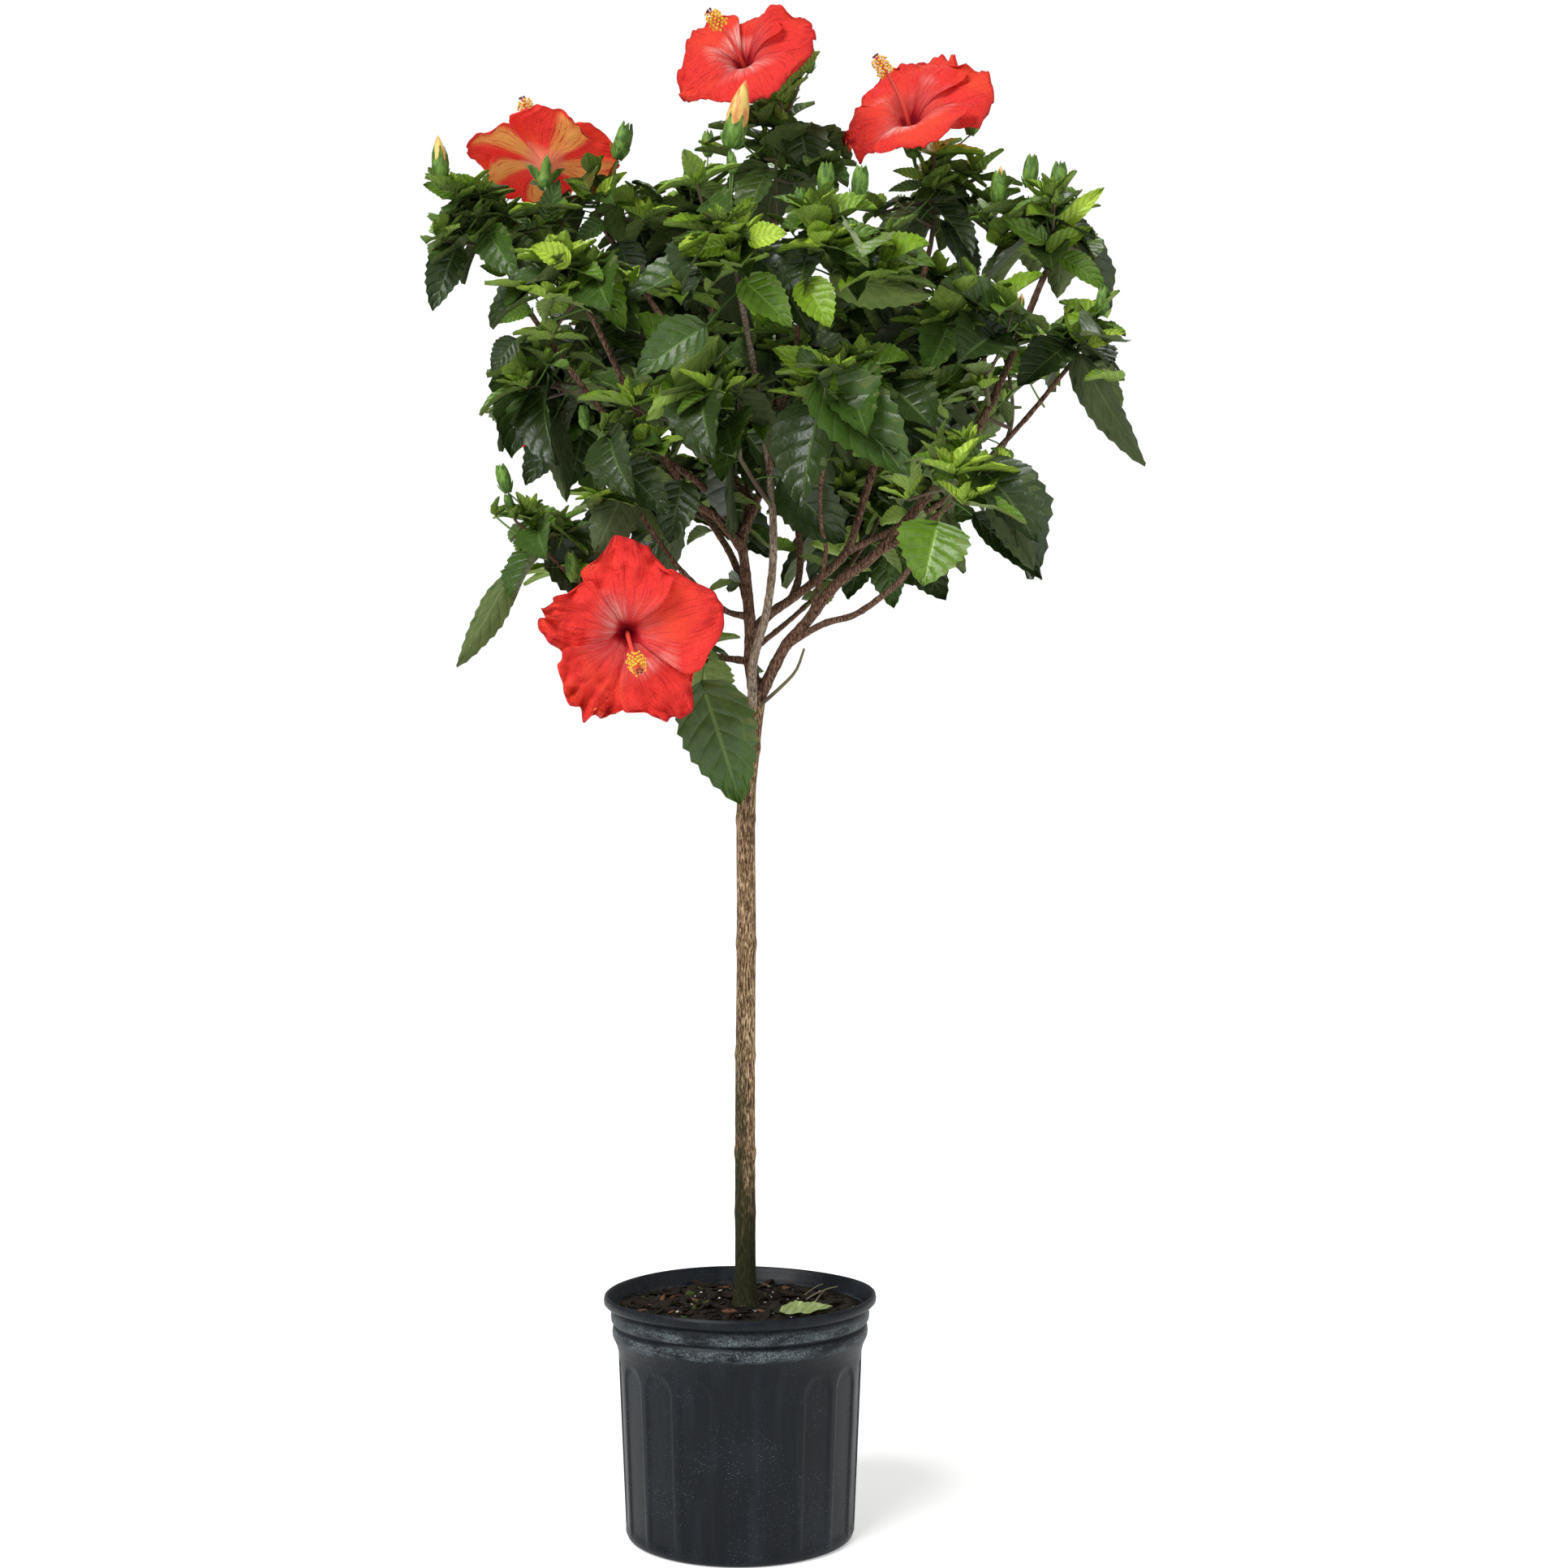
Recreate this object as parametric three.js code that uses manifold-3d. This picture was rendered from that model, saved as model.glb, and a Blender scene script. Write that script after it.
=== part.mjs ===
// A hibiscus grown as a small standard tree: one bare trunk under a round crown, in its nursery pot.
// Lengths are in millimetres and +Z is up. The origin is the middle of the pot's flat underside,
// and the plant's front is -Y, with +X to the right of someone who looks at that front.

import * as THREE from "three";
import { mergeVertices } from "three/addons/utils/BufferGeometryUtils.js";
import Module from "manifold-3d";

const wasm = await Module();
wasm.setup();

// The nursery pot, moulded in one thin wall
const POT_HEIGHT = 226;
const POT_RIM_RADIUS = 127;
const POT_NECK_RADIUS = 120.5;
const POT_BODY_RADIUS = 113.4;
const POT_BASE_RADIUS = 106.8;
const POT_EDGE_ROUND = 5.5;
const POT_WALL = 2.4;
const POT_FLOOR = 3.4;
const LIP_HEIGHT = 10;
const LIP_ROUND = 2;
const BAND_HEIGHT = 12.5;
const BAND_STEP = 1.2;
const GROOVE_HALF = 1.5;
const BODY_TOP = 158;
const POT_SEGMENTS = 32;

// The potting soil that fills it
const SOIL_HEIGHT = 211;
const SOIL_CROWN = 2;
const CLEARANCE = 0.3;

// The trunk, from the flat cut on the soil to the fork
const FOOT_RADIUS = 13.2;
const TRUNK_RADIUS = 9.9;
const TRUNK_TOP_RADIUS = 8.7;
const FLARE_SHARE = 0.06;
const TRUNK_SIDES = 11;
const TRUNK_RINGS = 15;
const BOUGH_SIDES = 5;
const BOUGH_RINGS_PER_PLACE = 1.5;

// How foliage grows. Each pair is a range: along the stem or the twig, as a share of the reach, or in radians.
const STEM_TOP = 0.5;
const STEM_BEND = 0.45;
const TWIG_ROOTS = [0.25, 0.8];
const TWIG_RISES = [-0.1, 0.5];
const TWIG_REACHES = [0.56, 0.7];
const FIRST_LEAF = 0.22;
const LEAF_PITCHES = [-1, 0.85];
const PITCH_VARIES = 0.25;
const LENGTH_VARIES = [0.85, 1.1];
const ROLL_VARIES = 0.4;
const GOLDEN_ANGLE = THREE.MathUtils.degToRad(137.5);
// How far each mass keeps from the plane between it and the next, as a difference of squared distances
const SPACE_MARGIN = 60;

// Leaves, twigs, buds and blooms
const LEAF_LENGTH = 112;
const LEAF_WIDTH_SHARE = 0.7;
const LEAF_FOOT = 1.4;
const LEAF_THICKNESS_SHARE = 0.03;
const YOUNG_LEAF_SHARE = 0.5;
const LEAF_TRIES = [1, 0.8, 0.62];
const LEAF_ROOT_SHARE = 0.06;
const STEM_LEAVES = 6;
const TWIG_LEAVES = 4;
const STEM_RADIUS = 2.6;
const STEM_SIDES = 4;
const STEM_RINGS = 4;
const TWIG_SIDES = 3;
const TWIG_RINGS = 2;
const TWIG_RADIUS = 2.3;
const TWIG_TIP_RADIUS = 1.6;
const BROAD_LEAF_SHARES = [0.18, 0.33, 0.47, 0.62, 0.77, 0.93];
const BUD_LENGTH = 34;
const BUD_RADIUS = 7.5;
const PETAL_LENGTH = 86;
const PETALS = 5;
// The edge of one petal, each corner as [share of the full radius, share of a petal's turn, lift]
const PETAL_EDGE = [[0.55, -0.5, 0.2], [0.9, -0.33, 0.16], [1, 0, 0.08], [0.92, 0.3, 0.12]];
const PETAL_THICKNESS = 2.4;
const COLUMN_LENGTH = 66;
const COLUMN_SAG = 4;
const BRUSH_START = 0.68;
const STALK_RADIUS = 1.9;

// Places in the crown are given where they show against the plane of the trunk, for an eye in front
// of it, together with their depth: [across, depth, height], with depth behind that plane positive.
const EYE = new THREE.Vector3(41, -2100, 650);

// Each limb: what it leaves and how far along that is, the places that it passes, its radii at foot and tip
const LIMBS = {
  leader: {
    from: "trunk", at: 1,
    through: [[9.5, 6, 814], [9.5, 8, 841], [8, 8, 865], [4, 6, 906], [1, 5, 932]],
    radii: [6.4, 4.6],
  },
  bough_front: {
    from: "trunk", at: 0.965,
    through: [[12, -15, 812], [26, -26, 869], [31, -38, 924], [28, -52, 985], [17, -88, 1065], [0, -138, 1160]],
    radii: [4.3, 2.9],
  },
  bough_right: {
    from: "trunk", at: 0.985,
    through: [[41, -4, 828], [60, -10, 850], [91, -18, 889], [136, -30, 926], [222, -44, 1034], [286, -34, 1180]],
    radii: [5.8, 3],
  },
  bough_right_upper: {
    from: "leader", at: 0.4,
    through: [[30, 16, 862], [50, 24, 876], [96, 44, 914], [113, 56, 958], [145, 66, 1070], [177, 54, 1200]],
    radii: [4.6, 2.7],
  },
  bough_top: {
    from: "leader", at: 1,
    through: [[14, 10, 962], [27, 16, 1005], [35, 22, 1070], [36, 20, 1165], [33, 14, 1235]],
    radii: [4.2, 2.8],
  },
  bough_left_front: {
    from: "leader", at: 0.93,
    through: [[-23, -14, 951], [-46, -24, 970], [-94, -50, 1045], [-119, -66, 1098], [-142, -80, 1145]],
    radii: [4.1, 2.8],
  },
  bough_left: {
    from: "leader", at: 0.97,
    through: [[-20, 20, 962], [-48, 30, 990], [-118, 42, 1038], [-189, 44, 1131], [-218, 40, 1182]],
    radii: [3.8, 2.6],
  },
  bough_upper_left: {
    from: "bough_top", at: 0.1,
    through: [[-8, 30, 990], [-22, 44, 1025], [-35, 58, 1075], [-88, 72, 1160], [-130, 74, 1225]],
    radii: [3.7, 2.6],
  },
  bough_low_left: {
    from: "leader", at: 0.22,
    through: [[-29, -8, 822], [-70, -24, 838], [-110, -40, 865], [-150, -56, 890], [-176, -62, 912]],
    radii: [3.3, 2.2],
  },
  bough_inner_left: {
    from: "leader", at: 0.5,
    through: [[-18, -6, 866], [-57, -24, 903], [-83, -40, 938], [-102, -52, 968]],
    radii: [3, 2.1],
  },
  bough_low_right: {
    from: "bough_right", at: 0.13,
    through: [[78, -22, 851], [108, -42, 860], [139, -76, 882], [158, -100, 902], [194, -160, 965]],
    radii: [3.5, 2.3],
  },
  bough_right_lower: {
    from: "bough_right", at: 0.37,
    through: [[187, -48, 955], [235, -60, 1008], [270, -64, 1046], [306, -62, 1090]],
    radii: [3.2, 2.3],
  },
  bough_right_inner: {
    from: "bough_right", at: 0.2,
    through: [[80, -32, 915], [76, -50, 943], [76, -76, 985], [88, -110, 1035]],
    radii: [2.3, 1.9],
  },
  bough_front_fork: {
    from: "bough_front", at: 0.58,
    through: [[36, -86, 1040], [48, -108, 1085], [56, -126, 1140], [61, -134, 1182]],
    radii: [2.6, 2.1],
  },
  bough_back_right: {
    from: "bough_right_upper", at: 0.3,
    through: [[140, 74, 938], [190, 104, 966], [236, 128, 1005]],
    radii: [3.6, 2.4],
  },
  bough_back: {
    from: "bough_right_upper", at: 0.13,
    through: [[56, 46, 905], [53, 66, 956], [50, 108, 1010], [44, 150, 1050]],
    radii: [3.6, 2.4],
  },
  bough_back_low_right: {
    from: "leader", at: 0.28,
    through: [[41, 26, 850], [66, 52, 872], [96, 96, 898], [120, 150, 930]],
    radii: [2.8, 2.1],
  },
  bough_back_left: {
    from: "leader", at: 0.6,
    through: [[-10, 50, 918], [-40, 98, 962], [-80, 140, 1012], [-112, 168, 1060]],
    radii: [3.8, 2.5],
  },
  bough_back_top: {
    from: "bough_top", at: 0.04,
    through: [[6, 60, 985], [-6, 104, 1050], [-22, 134, 1120], [-30, 144, 1165]],
    radii: [3.5, 2.4],
  },
};

// Each mass of foliage: the limb that carries it, the middle and the reach of the space that it fills,
// its side twigs and buds, and the broad leaves that give it its outline, each from its base to its tip.
const MASSES = {
  leaves_front: {
    from: "bough_front", at: 1, middle: [-10, -160, 1168], reach: [92, 72, 84], twigs: 3, buds: 1, seed: 3,
    broad: [{ base: [3, -190, 1173], tip: [48, -205, 1128], width: 46 }],
  },
  leaves_front_fork: {
    from: "bough_front_fork", at: 1, middle: [78, -150, 1172], reach: [96, 74, 84], twigs: 3, buds: 2, seed: 5,
    broad: [{ base: [84, -172, 1178], tip: [178, -176, 1160], width: 40 }],
  },
  leaves_left_front: {
    from: "bough_left_front", at: 1, middle: [-156, -98, 1136], reach: [88, 70, 74], twigs: 3, buds: 0, seed: 8,
    broad: [{ base: [-142, -118, 1188], tip: [-108, -138, 1124], width: 40 }],
  },
  leaves_far_left: {
    from: "bough_left", at: 1, middle: [-242, 36, 1196], reach: [78, 88, 98], twigs: 3, buds: 1, seed: 13,
    broad: [
      { base: [-265, 20, 1206], tip: [-288, 12, 1144], width: 38 },
      { base: [-262, 24, 1252], tip: [-297, 20, 1262], width: 24 },
    ],
  },
  leaves_upper_left: {
    from: "bough_upper_left", at: 1, middle: [-128, 72, 1224], reach: [92, 92, 72], twigs: 3, buds: 2, seed: 21,
    broad: [],
  },
  leaves_top: {
    from: "bough_top", at: 1, middle: [40, 22, 1286], reach: [74, 76, 88], twigs: 3, buds: 2, seed: 22,
    broad: [],
  },
  leaves_right_upper: {
    from: "bough_right_upper", at: 1, middle: [176, 50, 1226], reach: [92, 90, 86], twigs: 3, buds: 2, seed: 29,
    broad: [],
  },
  leaves_far_right: {
    from: "bough_right", at: 1, middle: [290, -32, 1190], reach: [74, 86, 92], twigs: 3, buds: 2, seed: 31,
    broad: [],
  },
  leaves_right_lower: {
    from: "bough_right_lower", at: 1, middle: [322, -66, 1078], reach: [76, 76, 92], twigs: 3, buds: 1, seed: 37,
    broad: [{ base: [314, -78, 1107], tip: [378, -84, 1001], width: 46 }],
  },
  leaves_low_right: {
    from: "bough_low_right", at: 1, middle: [208, -176, 962], reach: [98, 84, 90], twigs: 3, buds: 0, seed: 41,
    broad: [
      { base: [185, -196, 945], tip: [171, -214, 886], width: 66 },
      { base: [241, -176, 995], tip: [276, -184, 903], width: 46 },
    ],
  },
  leaves_right_inner: {
    from: "bough_right_inner", at: 1, middle: [112, -134, 1048], reach: [92, 76, 84], twigs: 3, buds: 0, seed: 46,
    broad: [{ base: [72, -176, 1080], tip: [158, -192, 988], width: 72 }],
  },
  leaves_inner_left: {
    from: "bough_inner_left", at: 1, middle: [-112, -64, 990], reach: [76, 70, 76], twigs: 3, buds: 1, seed: 49,
    broad: [{ base: [-108, -84, 978], tip: [-136, -94, 919], width: 50 }],
  },
  leaves_low_left: {
    from: "bough_low_left", at: 1, middle: [-192, -66, 903], reach: [54, 60, 86], twigs: 2, buds: 2, seed: 53,
    broad: [{ base: [-216, -74, 900], tip: [-270, -80, 812], width: 42 }],
  },
  leaves_low_front: {
    from: "bough_low_left", at: 0.3, middle: [-34, -44, 764], reach: [56, 60, 92], twigs: 0, buds: 0, seed: 59,
    broad: [{ base: [-52, -52, 789], tip: [-14, -50, 682], width: 64 }],
  },
  leaves_back_right: {
    from: "bough_back_right", at: 1, middle: [246, 152, 1060], reach: [92, 92, 96], twigs: 3, buds: 1, seed: 61,
    broad: [],
  },
  leaves_back: {
    from: "bough_back", at: 1, middle: [44, 190, 1070], reach: [92, 84, 90], twigs: 3, buds: 0, seed: 67,
    broad: [],
  },
  leaves_back_low_right: {
    from: "bough_back_low_right", at: 1, middle: [134, 190, 950], reach: [94, 84, 78], twigs: 3, buds: 1, seed: 71,
    broad: [],
  },
  leaves_back_left: {
    from: "bough_back_left", at: 1, middle: [-134, 190, 1098], reach: [96, 92, 92], twigs: 3, buds: 1, seed: 73,
    broad: [],
  },
  leaves_back_top: {
    from: "bough_back_top", at: 1, middle: [-34, 158, 1208], reach: [92, 90, 86], twigs: 3, buds: 1, seed: 79,
    broad: [],
  },
  leaves_back_upper_right: {
    from: "bough_right_upper", at: 0.62, middle: [136, 150, 1154], reach: [82, 82, 76], twigs: 3, buds: 1, seed: 83,
    broad: [],
  },
  leaves_left: {
    from: "bough_left", at: 0.62, middle: [-186, 60, 1048], reach: [68, 78, 84], twigs: 3, buds: 0, seed: 89,
    broad: [
      { base: [-196, 50, 1112], tip: [-214, 34, 1006], width: 64 },
      { base: [-174, 34, 1044], tip: [-163, 26, 966], width: 28 },
    ],
  },
  leaves_right: {
    from: "bough_right", at: 0.72, middle: [226, -96, 1112], reach: [72, 72, 72], twigs: 3, buds: 0, seed: 97,
    broad: [{ base: [192, -112, 1110], tip: [256, -120, 1120], width: 50 }],
  },
  leaves_front_low: {
    from: "bough_front", at: 0.5, middle: [-48, -120, 1062], reach: [82, 70, 84], twigs: 3, buds: 0, seed: 101,
    broad: [{ base: [-20, -150, 1122], tip: [-88, -168, 1044], width: 36 }],
  },
  leaves_back_low_left: {
    from: "bough_back_left", at: 0.4, middle: [-76, 146, 962], reach: [86, 76, 62], twigs: 3, buds: 0, seed: 103,
    broad: [],
  },
  leaves_heart: {
    from: "bough_top", at: 0.32, middle: [24, 6, 1082], reach: [78, 64, 84], twigs: 2, buds: 0, seed: 107,
    broad: [],
  },
};

// Each bloom: the bough or the mass whose stem carries its stalk, the middle of its throat, the way it
// faces, its size against a full petal, and its turn about its own axis
const BLOOMS = {
  bloom_low_front: {
    from: "bough_low_left", at: 0.55,
    throat: [-106, -118, 845], faces: [0.06, -0.95, -0.22], size: 1.06, turn: 12,
  },
  bloom_top: {
    from: "leaves_top", at: 0.55,
    throat: [4, -34, 1380], faces: [-0.2, -0.68, 0.7], size: 0.84, turn: 30,
  },
  bloom_right: {
    from: "leaves_right_upper", at: 0.6,
    throat: [160, 10, 1338], faces: [-0.42, -0.5, 0.76], size: 0.92, turn: 50,
  },
  bloom_left: {
    from: "leaves_upper_left", at: 0.5,
    throat: [-184, 66, 1286], faces: [-0.12, 0.3, 0.93], size: 0.92, turn: 0,
  },
  bloom_back_right: {
    from: "leaves_back_low_right", at: 0.5,
    throat: [140, 266, 954], faces: [0.2, 0.95, 0.1], size: 0.88, turn: 20,
  },
  bloom_back_top: {
    from: "leaves_back_top", at: 0.5,
    throat: [-44, 268, 1172], faces: [-0.15, 0.88, 0.42], size: 0.9, turn: 40,
  },
  bloom_back_left: {
    from: "leaves_back_left", at: 0.5,
    throat: [-164, 270, 1060], faces: [-0.5, 0.82, 0.25], size: 0.86, turn: 5,
  },
};

const UP = new THREE.Vector3(0, 0, 1);
const FORWARD = new THREE.Vector3(0, -1, 0);

// Finishes

const finish = (color, roughness) => new THREE.MeshStandardMaterial({ color, roughness, metalness: 0 });
const potPlastic = finish(0x23272c, 0.62);
const soilMix = finish(0x2a221d, 0.95);
const bark = finish(0x6f5846, 0.85);
const foliage = finish(0x2f5a26, 0.5);
const petals = finish(0xe0402e, 0.6);

// Small helpers

// The place in space of a point that shows at (across, height) against the plane of the trunk.
function seen([across, depth, height]) {
  const spread = (depth - EYE.y) / -EYE.y;
  return new THREE.Vector3(EYE.x + (across - EYE.x) * spread, depth, EYE.z + (height - EYE.z) * spread);
}

// The same run of numbers from 0 to 1 each time, for one seed.
function seeded(seed) {
  let state = seed * 7919 + 104729;
  return () => {
    state = (state * 16807) % 2147483647;
    return state / 2147483647;
  };
}

const mix = THREE.MathUtils.lerp;
const within = ([low, high], share) => mix(low, high, share);

// Solids

// A closed surface as a solid, with its shared corners merged and its faces turned outwards.
function solidFrom(geometry) {
  geometry.deleteAttribute("normal");
  geometry.deleteAttribute("uv");
  const merged = mergeVertices(geometry);
  const corners = merged.index.array;
  const kept = [];
  for (let i = 0; i < corners.length; i += 3) {
    const [a, b, c] = [corners[i], corners[i + 1], corners[i + 2]];
    if (a !== b && b !== c && c !== a) kept.push(a, b, c);
  }
  const make = (triangles) =>
    new wasm.Manifold(
      new wasm.Mesh({
        numProp: 3,
        vertProperties: new Float32Array(merged.attributes.position.array),
        triVerts: new Uint32Array(triangles),
      }),
    );
  const made = make(kept);
  return made.volume() > 0 ? made : make(kept.reverse());
}

// The largest body of a solid: a loose scrap is dropped and a hollow that fusing sealed is filled.
function mainBody(solid) {
  const bodies = solid.decompose();
  return bodies.reduce((best, body) => (body.volume() > best.volume() ? body : best));
}

function fuse(solids) {
  return mainBody(solids.reduce((sum, solid) => sum.add(solid)));
}

function node(name, solid, material) {
  const { vertProperties, triVerts } = solid.getMesh();
  const geometry = new THREE.BufferGeometry();
  geometry.setAttribute("position", new THREE.BufferAttribute(vertProperties, 3));
  geometry.setIndex(new THREE.BufferAttribute(triVerts, 1));
  const flat = geometry.toNonIndexed();
  flat.computeVertexNormals();
  const mesh = new THREE.Mesh(flat, material);
  mesh.name = name;
  return mesh;
}

// A limb: a turned shape whose axis is bent along a line. radiusAt gives its radius at each share of the way.
function limbAlong(line, radiusAt, sides, rings) {
  const profile = [new THREE.Vector2(0, 0)];
  for (let ring = 0; ring <= rings; ring++) profile.push(new THREE.Vector2(radiusAt(ring / rings), ring));
  profile.push(new THREE.Vector2(0, rings));
  const geometry = new THREE.LatheGeometry(profile, sides);
  const frames = line.computeFrenetFrames(rings, false);
  const places = geometry.attributes.position;
  for (let i = 0; i < places.count; i++) {
    const ring = Math.round(places.getY(i));
    const place = line
      .getPointAt(ring / rings)
      .addScaledVector(frames.normals[ring], places.getX(i))
      .addScaledVector(frames.binormals[ring], -places.getZ(i));
    places.setXYZ(i, place.x, place.y, place.z);
  }
  return solidFrom(geometry);
}

const taper = (foot, tip) => (share) => mix(foot, tip, share);

// A thin sheet with a sharp edge all round. Its corners are those of the outline, then those inside it,
// and the triangles of its upper face are drawn again below, where the inner corners lie lower.
function sheet(outline, inner, triangles, normal, thickness) {
  const half = normal.clone().setLength(thickness / 2);
  const upper = inner.map((place) => place.clone().add(half));
  const lower = inner.map((place) => place.clone().sub(half));
  const rim = outline.length;
  const below = (corner) => (corner < rim ? corner : corner + inner.length);
  const turnedOver = triangles.flatMap(([a, b, c]) => [below(c), below(b), below(a)]);
  const geometry = new THREE.BufferGeometry();
  const places = [...outline, ...upper, ...lower].flatMap((place) => place.toArray());
  geometry.setAttribute("position", new THREE.Float32BufferAttribute(places, 3));
  geometry.setIndex([...triangles.flat(), ...turnedOver]);
  return solidFrom(geometry);
}

// The pot and its soil

function outerWall() {
  const lipFoot = POT_HEIGHT - LIP_HEIGHT;
  const bandTop = lipFoot - 2 * GROOVE_HALF;
  const groove = bandTop - BAND_HEIGHT;
  const bandFoot = groove - BAND_HEIGHT;
  return [
    [0, 0],
    [POT_BASE_RADIUS - POT_EDGE_ROUND, 0],
    [POT_BASE_RADIUS - POT_EDGE_ROUND * 0.3, POT_EDGE_ROUND * 0.3],
    [POT_BASE_RADIUS, POT_EDGE_ROUND],
    [POT_BODY_RADIUS, BODY_TOP],
    [POT_BODY_RADIUS + BAND_STEP, bandFoot - 8],
    [POT_NECK_RADIUS - 2 * BAND_STEP, bandFoot],
    [POT_NECK_RADIUS - BAND_STEP, bandFoot + 2 * GROOVE_HALF],
    [POT_NECK_RADIUS - BAND_STEP, groove - GROOVE_HALF],
    [POT_NECK_RADIUS - 2 * BAND_STEP, groove],
    [POT_NECK_RADIUS, groove + GROOVE_HALF],
    [POT_NECK_RADIUS, bandTop],
    [POT_RIM_RADIUS - LIP_ROUND, lipFoot],
    [POT_RIM_RADIUS, lipFoot + LIP_ROUND],
    [POT_RIM_RADIUS, POT_HEIGHT - LIP_ROUND],
    [POT_RIM_RADIUS - 0.6 * LIP_ROUND, POT_HEIGHT],
  ];
}

// The wall's inner side, from the rim down to the middle of the floor.
function innerWall() {
  const lipFoot = POT_HEIGHT - LIP_HEIGHT;
  return [
    [POT_RIM_RADIUS - POT_WALL, POT_HEIGHT - 0.3 * LIP_ROUND],
    [POT_RIM_RADIUS - POT_WALL - LIP_ROUND, lipFoot + LIP_ROUND],
    [POT_NECK_RADIUS - POT_WALL, lipFoot - 2 * LIP_ROUND],
    [POT_BODY_RADIUS - POT_WALL, BODY_TOP],
    [POT_BASE_RADIUS - POT_WALL, POT_FLOOR + 3],
    [POT_BASE_RADIUS - POT_WALL - 3, POT_FLOOR],
    [0, POT_FLOOR],
  ];
}

function turned(profile) {
  const points = profile.map(([radius, height]) => new THREE.Vector2(radius, height));
  return solidFrom(new THREE.LatheGeometry(points, POT_SEGMENTS).rotateX(Math.PI / 2));
}

function soilProfile() {
  const wall = innerWall();
  const [neckRadius, neckHeight] = wall[2];
  const [bodyRadius, bodyHeight] = wall[3];
  const edgeShare = (SOIL_HEIGHT - bodyHeight) / (neckHeight - bodyHeight);
  const edgeRadius = mix(bodyRadius, neckRadius, Math.min(edgeShare, 1));
  return [
    [0, POT_FLOOR + CLEARANCE],
    [wall[5][0] - CLEARANCE, POT_FLOOR + CLEARANCE],
    [wall[4][0] - CLEARANCE, wall[4][1]],
    [bodyRadius - CLEARANCE, bodyHeight],
    [edgeRadius - CLEARANCE, SOIL_HEIGHT],
    [edgeRadius * 0.6, SOIL_HEIGHT + SOIL_CROWN],
    [0, SOIL_HEIGHT + SOIL_CROWN],
  ];
}

// The trunk and the boughs

const trunkFoot = SOIL_HEIGHT + SOIL_CROWN + CLEARANCE;
const trunkLine = new THREE.CatmullRomCurve3(
  [
    new THREE.Vector3(5, 0, trunkFoot),
    new THREE.Vector3(4.6, 0, 400),
    new THREE.Vector3(5.6, 1, 560),
    new THREE.Vector3(5.4, 1, 680),
    new THREE.Vector3(9.5, 1, 732),
    new THREE.Vector3(15.5, 3, 784),
  ],
  false,
  "catmullrom",
  0.5,
);

// The foot flares out over the first stretch, and above it the trunk tapers evenly.
function trunkRadius(share) {
  const flare = Math.max(0, 1 - share / FLARE_SHARE);
  return mix(TRUNK_RADIUS, TRUNK_TOP_RADIUS, share) + (FOOT_RADIUS - TRUNK_RADIUS) * flare * flare;
}

// Every limb as its line, its radius along it, its solid, and that solid grown by the clearance.
const lines = {};
const radiusOf = {};
const grown = {};

// A limb of its own, cut clear of all that stand before it.
function growLimb(name, line, radiusAt, sides, rings) {
  const whole = limbAlong(line, radiusAt, sides, rings);
  const cut = Object.values(grown).reduce((left, other) => left.subtract(other), whole);
  lines[name] = line;
  radiusOf[name] = radiusAt;
  grown[name] = limbAlong(line, (share) => radiusAt(share) + CLEARANCE, sides, rings);
  return mainBody(cut);
}

const limbSolids = { trunk: growLimb("trunk", trunkLine, trunkRadius, TRUNK_SIDES, TRUNK_RINGS) };
for (const [name, { from, at, through, radii }] of Object.entries(LIMBS)) {
  const start = lines[from].getPointAt(at);
  if (at === 1) start.addScaledVector(lines[from].getTangentAt(1), CLEARANCE);
  const line = new THREE.CatmullRomCurve3([start, ...through.map(seen)], false, "catmullrom", 0.5);
  const rings = Math.round(through.length * BOUGH_RINGS_PER_PLACE);
  limbSolids[name] = growLimb(name, line, taper(...radii), BOUGH_SIDES, rings);
}

// The foliage

const spaces = Object.entries(MASSES).map(([name, { middle, reach }]) => ({
  name,
  middle: seen(middle),
  reach: new THREE.Vector3(...reach),
  power: Math.max(...reach) ** 2,
}));

// A mass keeps to its own space: within its reach, and on its own side of the plane between it and each other.
function inOwnSpace(own, place) {
  const offset = place.clone().sub(own.middle);
  if (offset.clone().divide(own.reach).length() > 1) return false;
  const nearness = (space) => place.distanceToSquared(space.middle) - space.power;
  return spaces.every((other) => other === own || nearness(own) < nearness(other) - SPACE_MARGIN);
}

// The main stem of a mass grows on from its bough and turns up towards the top of its space.
function stemOf(mass, own) {
  const limb = lines[mass.from];
  const start = limb.getPointAt(mass.at);
  const heading = limb.getTangentAt(mass.at);
  const end = own.middle.clone().addScaledVector(UP, own.reach.z * STEM_TOP);
  if (mass.at === 1) start.addScaledVector(heading, CLEARANCE);
  else heading.copy(own.middle).sub(start).normalize();
  const bend = start.clone().addScaledVector(heading, start.distanceTo(end) * STEM_BEND);
  return new THREE.QuadraticBezierCurve3(start, bend, end);
}

// Side twigs leave the stem one after another, each a golden angle further round, and turn up at their tips.
function twigsOf(mass, own, stem, random) {
  const twigs = [];
  let turn = random() * Math.PI * 2;
  for (let i = 0; i < mass.twigs; i++) {
    const start = stem.getPointAt(within(TWIG_ROOTS, (i + 0.5) / mass.twigs));
    const rise = within(TWIG_RISES, random());
    const out = within(TWIG_REACHES, random());
    const end = own.middle
      .clone()
      .add(new THREE.Vector3(Math.cos(turn) * own.reach.x * out, Math.sin(turn) * own.reach.y * out, 0))
      .addScaledVector(UP, own.reach.z * rise);
    const bend = new THREE.Vector3(mix(start.x, end.x, 0.65), mix(start.y, end.y, 0.65), mix(start.z, end.z, 0.2));
    twigs.push(new THREE.QuadraticBezierCurve3(start, bend, end));
    turn += GOLDEN_ANGLE;
  }
  return twigs;
}

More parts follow.
